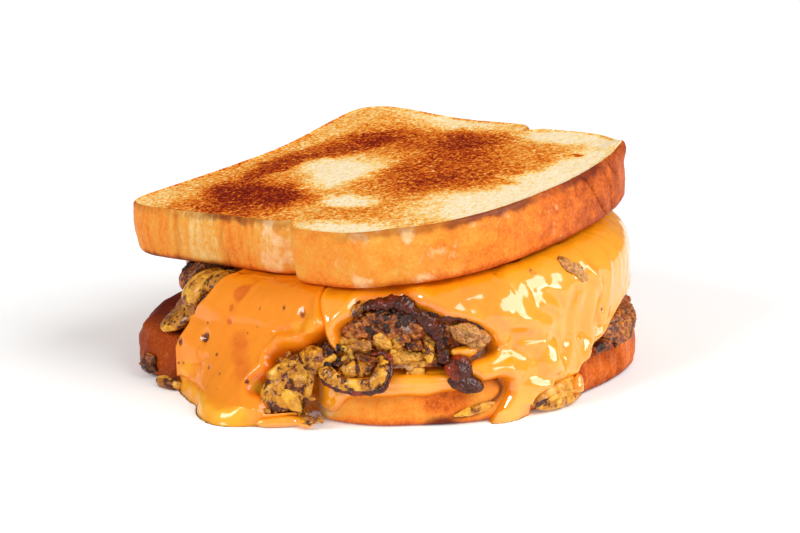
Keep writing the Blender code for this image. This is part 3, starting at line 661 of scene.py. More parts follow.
def slice_profile(half, top_round, low_round, bulge):
    """Inset from the crust and height, from the top face's edge down to the underside's edge: a
    quarter circle, a side that bulges as a half wave, and a quarter circle."""
    turn = np.radians(np.linspace(0.0, 90.0, 8))
    upper = np.stack([top_round * (1.0 - np.sin(turn)), half - top_round * (1.0 - np.cos(turn))], axis=1)
    lower = np.stack([low_round * (1.0 - np.sin(turn)), low_round * (1.0 - np.cos(turn)) - half], axis=1)
    side = np.linspace(0.0, 1.0, 30)[1:-1]
    swell = -bulge * np.sin(np.pi * side)
    height = half - top_round + (low_round + top_round - 2.0 * half) * side
    return np.concatenate([upper, np.stack([swell, height], axis=1), lower[::-1]])


def upper_browning(local, x, y, inset):
    """How brown the toasted face is: the patches of BROWNING with bent borders, and a broken line
    beside the crust."""
    bent_x = x + 5.0 * waves(local, 15.0, 41, 2) + 4.2 * waves(local, 4.6, 43, 3, 0.7)
    bent_y = y + 5.0 * waves(local, 15.0, 47, 2) + 3.4 * waves(local, 4.6, 49, 3, 0.7)
    brown = 0.34 + 0.12 * waves(local, 18.0, 44, 2)
    for at_x, at_y, half_x, half_y, turn, amount in BROWNING:
        brown = brown + amount * patch(bent_x, bent_y, at_x, at_y, half_x, half_y, turn, 0.75)
    return unit(brown + 0.22 * smooth(1.0 - np.abs(inset - 1.4) / 1.3) * (0.5 + waves(local, 7.0, 45)))


def upper_crust(local, signed, height, on_side, cracks):
    """Looks of the upper crust: UPPER_TONE round it, with a painted whitish sheen where glossy, a
    scorched line under its top edge, painted shade down the cracks, and a browned lower edge at the
    left, where it is pleated too."""
    half = UPPER_THICK / 2.0
    tone, rim, gloss = (np.interp(signed, UPPER_TONE[:, 0], column) for column in UPPER_TONE.T[1:])
    rim_line = smooth(1.3 - np.abs(half - 0.6 - height - 1.4 * waves(local, 3.0, 46, 3)) / 1.7)
    scorch_and_shade = rim * rim_line * on_side * unit(0.85 + 0.7 * waves(local, 7.0, 48, 2))
    low_left = smooth((-104.0 - signed) / 8.0) * smooth((signed + 150.0) / 8.0)
    low_edge = smooth((2.4 + waves(local, 3.0, 52, 2) - half - height) / 2.4)
    return {"tone": tone + 0.3 * smooth((3.0 - half - height) / 3.0),
            # painted shade: the cracks darken the crust as deep as they are
            "scorch_and_shade": unit(scorch_and_shade - 0.5 * cracks + 0.8 * low_left * low_edge),
            # gloss is coat weight and also a painted whitish sheen in the colour
            "gloss": gloss * smooth(1.4 * waves(local, 6.0, 50, 2) + 0.5),
            "pleated": np.broadcast_to(smooth((-78.0 - signed) / 8.0) * (signed < 0.0), height.shape)}


def fine_upper_slice():
    """Upper slice. Rings run over the porous toasted face, round a crisp edge, down the crust,
    which has a waist, upright pleats and cracks, and in over the underside."""
    angle = np.linspace(0.0, 360.0, 560, endpoint=False)
    signed = wrapped(angle)
    cosine, sine = np.cos(np.radians(angle)), np.sin(np.radians(angle))
    edge = loaf_radius(UPPER, angle)
    half = UPPER_THICK / 2.0
    side = slice_profile(half, FACE_ROUND, UNDER_ROUND, 0.6)
    inner = np.linspace(0.02, 1.0, 84)[:-1]
    under = np.linspace(1.0, 0.04, 14)[1:]
    radius = np.concatenate([inner[:, None] * (edge - FACE_ROUND), edge - side[:, :1],
                             under[:, None] * (edge - UNDER_ROUND)])
    height = np.concatenate([np.full_like(inner, half), side[:, 1], np.full_like(under, -half)])
    height = np.broadcast_to(height[:, None], radius.shape)
    local = np.stack([radius * cosine, radius * sine, height], axis=-1)
    on_side = smooth((radius - (edge - FACE_ROUND - 0.6)) / 1.5)
    on_top = (1.0 - on_side) * (height > 0.0)
    pore, own = grains(local * (1.0, 1.0, 0.4), 1.9, 11)
    pores = -0.34 * smooth((0.42 - pore) / 0.3) * (own > 0.45)
    rough_face = 0.22 * waves(local, 9.0, 21, 3) + 0.10 * waves(local, 1.3, 22, 2) + pores
    height = height + on_top * rough_face - 0.5 * on_top * smooth(1.0 - (edge - radius) / 30.0)
    pleats = 0.32 * waves(local * (1.0, 1.0, 0.18), 5.0, 31, 3) + 0.10 * waves(local, 1.6, 33, 2)
    cracks = 0.0
    for at, lean, wide, deep in UPPER_CRACKS:
        wander = at + lean * height + 0.5 * np.sin(height / 1.7 + at)
        cracks = cracks - deep * bell((signed - wander) / wide)
    cracks = cracks * smooth((half - np.abs(height)) / 2.0)
    knob = bell((signed - 41.0) / 4.5) * smooth((height - 2.0) / 4.0)
    height = height + 1.1 * knob * smooth((radius - edge + 7.0) / 6.0)
    radius = radius + on_side * (pleats + cracks + 1.7 * knob)
    x, y = radius * cosine, radius * sine
    fields = upper_crust(local, signed, height, on_side, cracks)
    fields["brown"] = upper_browning(local, x, y, edge - radius)
    rings = upper_place(x, y, height)
    row = np.arange(len(rings) - 1)
    crust_rows = (row >= len(inner) + 2) & (row < len(inner) + len(side) + 1)
    second = np.concatenate([np.zeros(2 * len(angle)), np.repeat(crust_rows, len(angle))])
    ends = upper_place(0.0, 0.0, half), upper_place(0.0, 0.0, -half)
    put("upper slice of bread", *ring_body(ends[0], rings, ends[1]), "bread_toast", "bread_top",
        ring_fields(fields), second)


# A tear in the crust of the lower slice, under the right-hand end of the opening, with painted shade
# darkening its groove.
CRUST_TEAR = ((-34, 12.7), (-30, 12.4), (-27.6, 10.6), (-27.6, 8.0), (-29.8, 5.8), (-34.5, 3.4), (-39, 2.8))
# Creases down the lower crust: angle, half width and depth.
LOWER_CREASES = ((8.0, 1.3, 1.1), (13.5, 1.0, 1.0), (19.0, 1.4, 0.9), (1.0, 1.2, 0.7), (-141.0, 2.0, 0.8),
                 (-160.0, 1.5, 0.7))


def lower_crust(rings, signed, left, tear):
    """Looks of the lower crust: browner at the left, at the right and at the foot, with a dark line
    where it met the griddle, scorching above at the left, painted shade along the tear and in the gap
    under the lifted crust at the front, and a painted whitish sheen where it is glossy."""
    height = rings[..., 2]
    right = smooth((signed + 12.0) / 8.0) + smooth((-172.0 - signed) / 7.0)
    tone = 0.42 + 0.64 * left + 0.42 * right + 0.2 * waves(rings, 10.0, 63, 2)
    tone = tone + 0.35 * patch(signed, height, -41.0, 7.0, 7.2, 4.8) + 0.3 * smooth((3.5 - height) / 3.0)
    tone = tone - 0.40 * patch(signed, height, -72.0, 4.0, 5.6, 4.8)
    griddle_line = smooth((1.4 + 0.8 * waves(rings, 6.0, 64, 2) - height) / 1.6)
    scorch_and_shade = 0.9 * griddle_line * (0.35 + 0.65 * right + left)
    # The tear's groove is darkened with painted shade.
    scorch_and_shade = scorch_and_shade + 0.4 * left * smooth(0.4 + waves(rings, 8.0, 65, 3)) + 0.9 * bell(tear / 0.7)
    # Painted shadow: the dark gap under the crust where it lifts off the floor at the front.
    scorch_and_shade = scorch_and_shade + 0.9 * patch(signed, height, -42.5, 0.6, 4.8, 2.72)
    scorch_and_shade = scorch_and_shade + 0.5 * left * smooth((height - 13.0) / 3.0) * smooth(0.8 + waves(rings, 5.0, 66, 2))
    return {"tone": tone, "scorch_and_shade": unit(scorch_and_shade), "pleated": np.full_like(tone, 0.5),
            # gloss is coat weight and also a painted whitish sheen in the colour
            "gloss": (1.0 - left) * 0.4 * smooth(1.5 * waves(rings, 5.0, 67, 2))}


def fine_lower_slice():
    """Lower slice. Its crust sags on the floor, bulges, and is dented and pleated, with a dark line
    where it meets the griddle. Its greasy face shows at the swollen near corner."""
    angle = np.linspace(0.0, 360.0, 600, endpoint=False)
    signed = wrapped(angle)
    edge = lower_edge(angle)
    face_share = 1.0 - np.concatenate([[0.75, 0.5, 0.32, 0.22], np.linspace(9.0, 0.0, 22) / 60.0])[:, None]
    up = 1.0 - np.linspace(0.0, 1.0, 34)[1:, None]
    height = lower_top(angle, edge) * up
    foot = FOOT_ROUND * (1.0 - dome(1.0 - np.minimum(height / FOOT_ROUND, 1.0)))
    under_share = 1.0 - np.array([0.1, 0.3, 0.7])[:, None]
    rings = np.concatenate([ring_at(angle, edge * face_share, lower_top(angle, edge * face_share)),
                            ring_at(angle, edge - foot + 0.5 * np.sin(np.pi * up), height),
                            ring_at(angle, (edge - FOOT_ROUND) * under_share, 0.0)])
    height = rings[..., 2]
    on_wall = smooth((height - 0.4) / 2.0) * (np.arange(len(rings)) > 8)[:, None]
    left = smooth((-112.0 - signed) / 8.0) * smooth((signed + 179.0) / 6.0)
    dents = 0.55 * waves(rings * (1.0, 1.0, 0.35), 7.0, 61, 2) + 0.14 * waves(rings, 2.2, 62, 2)
    dents = dents + left * (0.7 * waves(rings, 5.0, 68, 2) - 0.8 * bell((height - 11.5) / 1.2))
    creases = 0.0
    for at, wide, deep in LOWER_CREASES:
        wander = at + 1.5 * np.sin(height / 3.1 + at)
        creases = creases - deep * bell((signed - wander) / wide)
    tear = path_distance(signed, height, CRUST_TEAR)
    push = on_wall * (dents + creases - 0.9 * bell(tear / 0.8))
    rings[..., 0] += push * np.cos(np.radians(angle))
    rings[..., 1] += push * np.sin(np.radians(angle))
    top = (*LOWER_CENTRE, float(lower_height(*LOWER_CENTRE)))
    put("lower slice of bread", *ring_body(top, rings, (*LOWER_CENTRE, 0.0)), "bread_crust", "bread_bottom",
        ring_fields(lower_crust(rings, signed, left, tear)))


# ---------------------------------------------------------------- melted cheese

# Outlines of the sheets as (angle, level), closed far above the shoulder.
RIGHT_OUTLINE = (
    (-74.5, 80), (-74.5, 45), (-74.5, 38), (-74.5, 34.5), (-74.5, 31.8), (-73.2, 29.5), (-71.6, 26.6),
    (-70.4, 23.6), (-69, 21.2), (-67.5, 20.0), (-67.6, 22.5), (-68, 25.6), (-67, 27.6), (-64.7, 29.6),
    (-64, 30.9), (-63, 32.2), (-60.5, 33), (-55.5, 34), (-52.5, 34.5), (-49.5, 33.8), (-46.5, 32.4),
    (-43, 31), (-41, 29.9), (-38.5, 29.4), (-34, 27.8), (-30.5, 24.5), (-29, 20.6), (-31, 18.4),
    (-34.5, 17.5), (-36.5, 16.1), (-36.5, 14.4), (-33.5, 12.9), (-29.5, 13.0), (-26.5, 12), (-26, 8.6),
    (-27.5, 5.2), (-29.5, 1.5), (-29.5, -1), (-25, -1.2), (-22, 0.4), (-20, 1.3), (-18.5, 4.6),
    (-14.5, 7.1), (-11, 8), (-5.5, 7.8), (-3, 8.3), (-1.5, 10.5), (1.5, 11.6), (3.5, 13.5), (5, 15),
    (10, 16.3), (13.5, 18.6), (20, 22.4), (26, 23.5), (32, 24.5), (39, 25.5), (46, 25), (53, 19), (60, 10),
    (66, 7), (71, 12), (75, 22), (79, 29), (80, 33), (80, 38), (80, 46), (80, 80))
LEFT_OUTLINE = (
    (-73.2, 80), (-73.2, 45), (-73.2, 38), (-73.2, 35), (-73, 32.4), (-71.5, 29.5), (-70.2, 27.1),
    (-72.5, 23.5), (-76.5, 19.6), (-79.5, 18.5), (-82, 17.7), (-84, 16.1), (-83.5, 14.3), (-84, 12.1),
    (-86, 9.8), (-85.5, 7.7), (-83, 6.9), (-81, 5.1), (-80.5, 2), (-81, -0.6), (-83.5, -2.2), (-85.5, -4.5),
    (-88.5, -7.2), (-92, -8.2), (-96.5, -7.4), (-101.5, -4.8), (-106.5, -5.3), (-110, -4.8), (-113, -3.4),
    (-115.5, -0.5), (-116.7, 4.9), (-117.2, 9.3), (-117.4, 12.2), (-116.8, 14.6), (-116.2, 17.3),
    (-117, 19.9), (-114.4, 24.6), (-111.8, 27.2), (-111.5, 28.7), (-112, 30.4), (-114, 33), (-121, 35),
    (-128, 35), (-135, 33.5), (-142, 30.5), (-152, 25), (-163, 14), (-174, 9), (-185, 13), (-196, 25),
    (-209, 30), (-221, 27), (-231, 16), (-243, 5), (-254, 3), (-264, 9), (-272, 23), (-277, 29),
    (-278.5, 33), (-278.5, 38), (-278.5, 46), (-278.5, 80))
# The lower cheese where it rolls over the crust below the opening.
APRON_OUTLINE = (
    (-60, 15), (-75, 15), (-87, 14), (-88, 8), (-87, 0.5), (-84.5, -1.5), (-81, -2.5), (-78.5, -0.5),
    (-77, 2.6), (-74.5, 4.4), (-71, 3.8), (-68.4, 3.4), (-66.4, 4.8), (-65.2, 7.0), (-63.4, 8.5),
    (-61, 9.0), (-56, 9.1), (-51, 9.5), (-46, 9.3), (-42, 10.2), (-38, 10.6), (-34, 12.4), (-32, 13.6),
    (-33, 15), (-38, 15), (-48, 15))
# How far a sheet's edge is tucked under outside its outline, how wide its round rim is inside it,
# how far below the support the rim starts, and how often a pool is smoothed.
TUCKED, RIM, SUNK, SMOOTHINGS = 0.7, 2.4, 2.0, 90
# Creases (depth above 0) and rolls (below 0) in the sheets: half width, depth, route.
RIGHT_FOLDS = (
    (0.9, 1.1, ((7.5, 33), (7, 28.4), (5.5, 24.7), (6.3, 19.7), (4, 16), (1, 13.7))),
    (2.2, -0.9, ((3.5, 34), (3, 28), (1.5, 22), (1.5, 17), (-1, 13.5))),
    (1.6, -0.5, ((12, 34), (11, 28), (10, 22))),
    (1.3, 0.5, ((-18, 33.5), (-12.5, 33), (-9.5, 30.5), (-9.0, 27))),
    (3.4, -2.6, ((-28, 30.4), (-21, 27.8), (-15.5, 24.0))),
    (1.0, 0.4, ((-25, 28.6), (-19, 26.8), (-14.5, 23.6))),
    (1.4, 0.6, ((-19, 24.5), (-13.5, 22.8), (-10.0, 18.5), (-10.2, 13), (-12.5, 9.0))),
    (2.8, -2.1, ((-21.5, 19.8), (-17.5, 19.4), (-13.6, 17.6))),
    (2.4, -1.9, ((-16.2, 14.4), (-13.0, 13.2), (-10.4, 11.4))),
    (2.2, -1.7, ((-18.6, 9.0), (-15.6, 8.2), (-12.6, 6.4))),
    (1.5, -1.1, ((2.0, 36.2), (4.6, 33.6), (6.8, 30.6))),
    (1.4, -1.1, ((-15.5, 31.6), (-12.4, 30.4), (-10.2, 27.6))),
    (1.5, 0.5, ((-24, 20), (-20.5, 17.5), (-18.4, 13.5), (-19.5, 9))),
    (1.7, -1.4, ((-33, 13.6), (-28, 14.6), (-23.5, 13.8))),
    (1.2, 0.4, ((-30, 19), (-26, 19.4), (-22.6, 17.6))),
    (1.8, -0.5, ((-27.5, 26.5), (-22, 27.5), (-17.5, 25))),
    (1.5, -0.4, ((-2, 31), (-4.5, 25), (-5.5, 18), (-7, 12))),
    (1.2, 0.35, ((-4, 33), (-7.3, 26), (-8.2, 19))),
)
LEFT_FOLDS = (
    (2.1, -2.0, ((-82.5, 20.4), (-78.5, 21.6), (-75.5, 24.2), (-72.5, 27.0))),
    (1.3, 0.7, ((-84, 22.4), (-80, 24.2), (-76.6, 27.4))),
    (0.5, 0.45, ((-109, 14.1), (-108.5, 12.6), (-107.5, 10.3), (-106, 9.2))),
    (0.5, 0.35, ((-114.5, 8.6), (-111.5, 8.9), (-107.5, 9.8), (-104.5, 12.0))),
    (2.6, 0.35, ((-94, 20), (-91, 16), (-89.5, 11.5))),
    (4.2, -1.6, ((-112.5, 3.4), (-108, 2.4), (-101.5, 2.2), (-96.5, 1.4), (-91, 1.0), (-86, 1.6))),
    (1.6, -0.45, ((-99, 24.5), (-93, 25.6), (-87, 24.6))),
)


def inside_outline(angle, level, outline):
    """Distance in millimetres on the wall to a closed outline, above 0 inside it: the nearest side,
    with the sign from how many sides a ray to larger angles crosses."""
    x, y = along_wall(angle), level
    curve = through(outline, np.linspace(0.0, 1.0, 3 * len(outline) - 2))
    px, py = along_wall(curve[:, 0]), curve[:, 1]
    nearest, inside = 1e9, False
    for ax, ay, bx, by in zip(px, py, np.roll(px, -1), np.roll(py, -1)):
        nearest = np.minimum(nearest, side_distance(x, y, ax, ay, bx, by))
        if abs(by - ay) > 1e-9:
            inside = inside ^ (((ay > y) != (by > y)) & (x < ax + (bx - ax) * (y - ay) / (by - ay)))
    return np.where(inside, nearest, -nearest)


def draped(angle, level, lift, pooled=1.0):
    """lifted(), but a level above the shoulder goes on inwards over the dome."""
    angle, level, lift = np.broadcast_arrays(angle, level, lift)
    start, top = shoulder(angle)
    wall = lifted(angle, level, lift, pooled)
    x, y = polar(angle, start - np.maximum(level - top, 0.0))
    over = np.stack([x, y, support_height(x, y) + lift], axis=-1)
    near = smooth((level - top) / 1.5)[..., None]
    placed = wall * (1.0 - near) + over * near
    placed[..., 2] = np.maximum(placed[..., 2], 0.05)
    return placed


def wall_grid(angle, lowest, inward, step):
    """Levels of a grid over the support at each angle: inwards from the shoulder, round it and
    down to the lowest level."""
    top = shoulder(angle)[1]
    over = np.linspace(inward, 0.0, int(inward / (2.5 * step)))[:-1, None]
    bend = np.linspace(0.0, 0.5 * math.pi, int(1.5 * SHOULDER_ACROSS / step))[:, None]
    down = np.linspace(0.0, 1.0, int((30.0 - lowest) / step))[1:, None]
    return np.concatenate([top + over, top - SHOULDER_DOWN * (1.0 - np.cos(bend)),
                           (top - SHOULDER_DOWN) * (1.0 - down) + lowest * down])


def spaced(low, high, fine_low, fine_high, fine, coarse):
    """Angles from low to high, fine degrees apart between two of them and coarse elsewhere."""
    whole = np.linspace(low, high, 4001)
    dense = np.where((whole > fine_low) & (whole < fine_high), 1.0 / fine, 1.0 / coarse)
    total = np.concatenate([[0.0], np.cumsum(0.5 * (dense[1:] + dense[:-1])) * (whole[1] - whole[0])])
    return np.interp(np.linspace(0.0, total[-1], int(total[-1])), total, whole)


def sheet_relief(base, angle, level, deep, folds, spots):
    """Relief of a sheet and the colours it carries: slow ripples, sharp ridges between swirls, a
    bead along its rim, folds, and spots."""
    swirled = base + 3.0 * drift(base, 11.0, 75)
    ridges = 0.5 - np.abs(waves(swirled * (1.0, 1.0, 0.5), 5.5, 76, 2))
    ripples = 0.30 * waves(base * (1.0, 1.0, 0.6), 8.0, 72, 2) + 0.06 * waves(base, 2.4, 73) + 0.55 * ridges
    relief = ripples + 0.45 * bell((deep - 1.6) / 1.3)
    for half_width, depth, route in folds:
        relief = relief - depth * bell(path_distance(angle, level, route) / half_width)
    # deep: a deeper orange painted along the rim, a warm tint for the shade that falls there, and deeper thin
    # patches from spots.
    fields = {"deep": 0.9 * bell(np.maximum(deep, 0.0) / 0.8), "stain": np.zeros_like(level),
              "pale": 0.7 * bell((deep - 0.6) / 2.2) * smooth((3.0 - level) / 6.0)}
    border = 1.0 + 0.25 * waves(base, 1.6, 74)
    for at, height, radius, higher, kind, amount in spots:
        far = np.hypot(along_wall(angle - at), level - height) / radius
        relief = relief + higher * bell(far)
        if kind:
            fields[kind] = fields[kind] + amount * smooth(1.35 - far * border)
    return relief, fields


def melted_sheet(name, stands_for, slot, outline, angles, lowest, inward, folds, thick, spots, step=0.36,
                 pooled=1.0):
    """A melted sheet: its thickness over the support rises steeply at the outline to a round rim and
    stays near the sheet's own thickness inside. It is smoothed where it runs out as a pool."""
    level = wall_grid(angles, lowest, inward, step)
    angle = np.broadcast_to(angles, level.shape)
    base = draped(angle, level, 0.0, pooled)
    deep = inside_outline(angle, level, outline) + 0.22 * waves(base, 4.5, 71, 2)
    relief, fields = sheet_relief(base, angle, level, deep, folds, spots)
    rise = unit((deep + TUCKED) / (RIM + TUCKED))
    lift = (thick + relief + SUNK) * dome(1.0 - rise) - SUNK
    outer = draped(angle, level, lift, pooled)
    eased = pooled * smooth((9.0 - level) / 4.0) * smooth((deep - 1.2) / 2.0)
    for _ in range(SMOOTHINGS):
        to_middle = 0.5 * (outer[:-2] + outer[2:]) - outer[1:-1]
        outer[1:-1] = outer[1:-1] + 0.5 * eased[1:-1, :, None] * to_middle
    inner = draped(angle, level, np.minimum(lift - 0.35, 0.1), pooled)
    inside = deep > -0.9
    keep = inside[:-1, :-1] | inside[1:, :-1] | inside[1:, 1:] | inside[:-1, 1:]
    points, quads, used = sheet_body(outer, inner, keep)
    fields = {key: unit(values).ravel()[used] for key, values in fields.items()}
    put(name, points, np.zeros((0, 3), int), quads, slot, stands_for, fields)


# Round places on the sheets: angle, level, radius, how much higher, and a field and how much of it.
RIGHT_SPOTS = (
    (-20.5, 29.5, 3.4, 0.5, "", 0), (-14.6, 13.5, 3.4, 1.1, "", 0), (-20.5, 9.5, 2.6, 0.8, "", 0),
    (-26.0, 14.8, 2.4, 0.7, "", 0), (-10.5, 22.0, 2.6, 0.6, "", 0), (-26.8, 23.6, 1.5, 1.1, "", 0),
    (-26.2, 20.6, 1.1, 0.8, "", 0), (-19.6, 24.2, 1.2, 0.8, "", 0), (-3.0, 18.0, 1.2, 0.6, "", 0),
    (-5.5, 5.6, 3.0, 0.4, "pale", 0.3), (-24.5, 30.5, 5.0, 0.4, "", 0), (-52.0, 37.0, 4.0, 0.0, "deep", 0.5),
    (-40.0, 34.0, 7.0, 0.0, "deep", 0.5), (-30.0, 38.0, 8.0, 0.0, "deep", 0.6),
    (-14.0, 4.0, 3.0, 0.3, "pale", 0.5), (-22.0, 6.0, 4.0, 0.3, "pale", 0.4),
    (-26.0, 2.0, 4.0, 0.2, "pale", 0.5), (-1.0, 9.6, 0.9, -0.3, "stain", 0.9),
    (-66.5, 24.5, 1.5, 0.2, "stain", 0.45), (-70.5, 24.0, 1.2, 0.1, "stain", 0.5),
    (8.0, 24.5, 0.8, -0.5, "stain", 0.9), (-16.0, 37.6, 1.6, 0.0, "stain", 0.5),
    (-26.0, 38.4, 1.6, 0.0, "stain", 0.4), (1.0, 13.8, 0.8, 0.0, "stain", 0.6))
LEFT_SPOTS = (
    (-99.0, 29.1, 1.9, -0.2, "deep", 1.5), (-101.0, 29.2, 1.4, -0.1, "deep", 1.3),
    (-100.5, 26.0, 1.0, -0.1, "deep", 1.3), (-100.0, 22.8, 1.2, -0.1, "deep", 1.3),
    (-112.0, 7.0, 3.2, 0.3, "pale", 0.6), (-95.0, 18.5, 3.0, -0.1, "deep", 0.55),
    (-92.5, 15.5, 3.2, -0.1, "deep", 0.65), (-90.0, 12.0, 3.0, -0.1, "deep", 0.6),
    (-107.5, 16.2, 1.6, -1.5, "stain", 1.0), (-115.0, 13.6, 0.9, -0.6, "stain", 0.9),
    (-84.9, 9.2, 1.6, 0.9, "pale", 0.9), (-87.0, 9.4, 0.7, -0.5, "stain", 0.8),
    (-97.0, -5.4, 5.0, 0.4, "pale", 0.3), (-89.0, -5.4, 5.0, 0.4, "pale", 0.3),
    (-86.0, -1.0, 2.0, 0.4, "pale", 0.6), (-77.5, 28.6, 1.4, -0.3, "stain", 0.6),
    (-83.5, 28.6, 0.8, 0.0, "stain", 0.6), (-86.0, 14.4, 0.8, 0.0, "stain", 0.5),
    (-100.5, 13.2, 0.7, -0.2, "stain", 0.7), (-102.0, 9.6, 0.75, -0.2, "stain", 0.75),
    (-110.0, 4.3, 0.6, 0.0, "stain", 0.5), (-113.5, 8.4, 0.8, 0.0, "stain", 0.6),
    (-115.0, 8.0, 0.6, 0.0, "stain", 0.6), (-111.8, 9.2, 0.6, 0.0, "stain", 0.5),
    (-108.0, 20.4, 0.7, -0.1, "stain", 0.7), (-96.0, 18.2, 0.5, 0.0, "stain", 0.6),
    (-93.0, 20.5, 0.5, 0.0, "stain", 0.6), (-85.5, 21.5, 0.5, 0.0, "stain", 0.5),
    (-91.0, 27.5, 0.5, 0.0, "stain", 0.6), (-95.0, 5.6, 0.5, 0.0, "stain", 0.5),
    (-99.0, 5.0, 0.5, 0.0, "stain", 0.6), (-104.0, 3.0, 0.5, 0.0, "stain", 0.5),
    (-107.0, -1.5, 0.6, 0.0, "stain", 0.6), (-96.5, 9.2, 0.7, 0.0, "stain", 0.6),
    (-94.0, 10.2, 0.5, 0.0, "stain", 0.5), (-90.5, 22.8, 0.5, 0.0, "stain", 0.5),
    (-78.5, 25.0, 2.0, 0.3, "pale", 0.6), (-74.0, 26.4, 2.0, 0.3, "pale", 0.5))
APRON_SPOTS = ((-62, 12, 4, 0.3, "deep", 0.5), (-48, 12, 4, 0.3, "pale", 0.3))


def all_cheese():
    """The two draped sheets, the sheet on the lower slice and its apron over the crust."""
    melted_sheet("right cheese", "cheese_right", "cheese_yellow", RIGHT_OUTLINE,
                 spaced(-76.0, 83.0, -76.0, 30.0, 0.36, 1.1), lowest=-4.0, inward=14.0, folds=RIGHT_FOLDS,
                 thick=CHEESE, spots=RIGHT_SPOTS)
    melted_sheet("left cheese", "cheese_left", "cheese_orange", LEFT_OUTLINE,
                 spaced(-280.0, -68.0, -121.0, -68.0, 0.33, 1.25), lowest=-10.0, inward=14.0,
                 folds=LEFT_FOLDS, thick=CHEESE + 0.3, spots=LEFT_SPOTS)
    melted_sheet("lower cheese apron", "", "cheese_yellow", APRON_OUTLINE,
                 spaced(-90.0, -28.0, -90.0, -28.0, 0.4, 1.0), lowest=-4.0, inward=1.0, folds=(), thick=0.9,
                 spots=APRON_SPOTS, step=0.45, pooled=0.0)
    lower_cheese()


# Heights above the lower slice's face: the lower sheet's top and underside, and the patty's
# underside. Then how far the patty's top lies below the support.
SHEET_TOP, SHEET_UNDER, PATTY_UNDER, PATTY_DOWN = 3.0, 0.6, 3.6, 1.6


def lower_cheese():
    """The sheet on the lower slice, whose wavy rim rolls over the crust below the opening: rings
    out over its face, round its rim in half a circle, and in again underneath."""
    angle = np.linspace(0.0, 360.0, 480, endpoint=False)
    signed = wrapped(angle)
    edge = lower_edge(angle)
    shows = smooth((signed + 88.0) / 6.0) * smooth((-30.0 - signed) / 5.0)
    hidden = np.minimum(edge, fill_radius(angle)) - 2.0
    rim = hidden + (edge + 1.6 - hidden) * shows + 0.8 * np.sin(np.radians(9.0 * angle)) * (1.0 - shows)
    over, under = ((rim - 2.4) * np.array(shares)[:, None]
                   for shares in ((0.3, 0.6, 0.8, 0.88, 0.94), (0.9, 0.6, 0.3)))
    turn = np.radians(np.linspace(90.0, -90.0, 12))[:, None]
    radius = rim - 1.4 + 1.4 * np.cos(turn)
    drop = 1.2 * shows * smooth((radius - edge + 5.0) / 5.0)
    height = lower_top(angle, np.minimum(radius, edge - 0.9)) + 1.8 + 1.2 * np.sin(turn)
    rings = np.concatenate([ring_at(angle, over, lower_top(angle, over) + SHEET_TOP),
                            ring_at(angle, radius, height - drop),
                            ring_at(angle, under, lower_top(angle, under) + SHEET_UNDER)])
    wave = 0.5 * waves(rings, 6.0, 81, 2) * shows
    rings = rings + wave[..., None] * np.stack(
        [np.cos(np.radians(angle)), np.sin(np.radians(angle)), np.full_like(angle, 0.4)], axis=-1)
    fields = {"deep": unit(0.2 + waves(rings, 9.0, 82)),
              "pale": unit(0.6 * waves(rings, 5.0, 83, 2)),
              "stain": np.clip(0.5 * waves(rings, 3.0, 84, 2), 0.0, 0.5)}
    base = float(lower_height(*LOWER_CENTRE))
    ends = (*LOWER_CENTRE, base + SHEET_TOP), (*LOWER_CENTRE, base + SHEET_UNDER)
    put("lower cheese", *ring_body(ends[0], rings, ends[1]), "cheese_yellow", "cheese_lower",
        ring_fields(fields))


# ---------------------------------------------------------------- patty, onions and loose bits

# Where the patty shows and how far it stands out: angle, level, half widths, height.
PATTY_SHOWS = ((-51.0, 24.0, 18.0, 10.5, 3.6), (40.0, 17.5, 7.5, 4.0, 2.6), (-136.0, 23.5, 8.0, 4.5, 2.6),
               (-211.0, 21.5, 10.0, 5.5, 3.4), (12.0, 13.4, 12.0, 4.0, 2.6))
# Patches of colour on the patty: angle, level, half widths in millimetres, turn, field and amount.
PATTY_PATCHES = (
    (-50, 33.0, 12, 3.0, -4, "char", 0.9), (-44.5, 28.5, 2.4, 5.5, 20, "char", 0.9),
    (-42.3, 21.0, 2.2, 5.5, 8, "char", 0.9), (-60, 26.0, 5.0, 4.0, 20, "char", 0.45),
    (-69, 18.5, 3.6, 3.4, 0, "char", 0.8), (-48, 22.8, 2.4, 1.6, 0, "char", 0.8),
    (-54, 28.5, 13.0, 4.4, -4, "char", 0.4), (-55, 22.8, 4.6, 3.6, -20, "gold", 0.9),
    (-49, 19.6, 6.0, 2.6, 0, "gold", 0.85), (-45, 21.5, 2.6, 4.0, 0, "gold", 0.8),
    (-51, 15.6, 8.0, 2.8, 0, "gold", 0.7), (-64, 25.5, 3.0, 5.0, 20, "gold", 0.6),
    (-66, 20.5, 3.6, 5.0, 0, "gold", 0.65), (-61, 21.5, 3.0, 2.4, 0, "grey", 0.9),
    (-50, 27.4, 2.6, 1.6, 0, "grey", 0.8), (-52, 16.4, 3.0, 2.0, 0, "grey", 0.6),
    (10, 13.6, 9.0, 3.0, 0, "char", 0.5), (-34, 22.0, 7.0, 4.0, -26, "grey", 0.6),
    (-37, 28.5, 5.0, 1.6, -26, "grey", 0.6))


def beef_colours(angle, level, base):
    """Fields of colour from PATTY_PATCHES with uneven borders."""
    fields = {name: np.zeros(angle.shape) for name in ("gold", "grey", "char")}
    bent_x, bent_y = (1.6 * waves(base, 4.0, seed, 3) for seed in (97, 102))
    for at, height, half_x, half_y, turn, name, amount in PATTY_PATCHES:
        away = along_wall(wrapped(angle - at))
        inside = patch(away + bent_x, level - height + bent_y, 0.0, 0.0, half_x, half_y, turn)
        fields[name] = np.maximum(fields[name], amount * inside)
    return fields


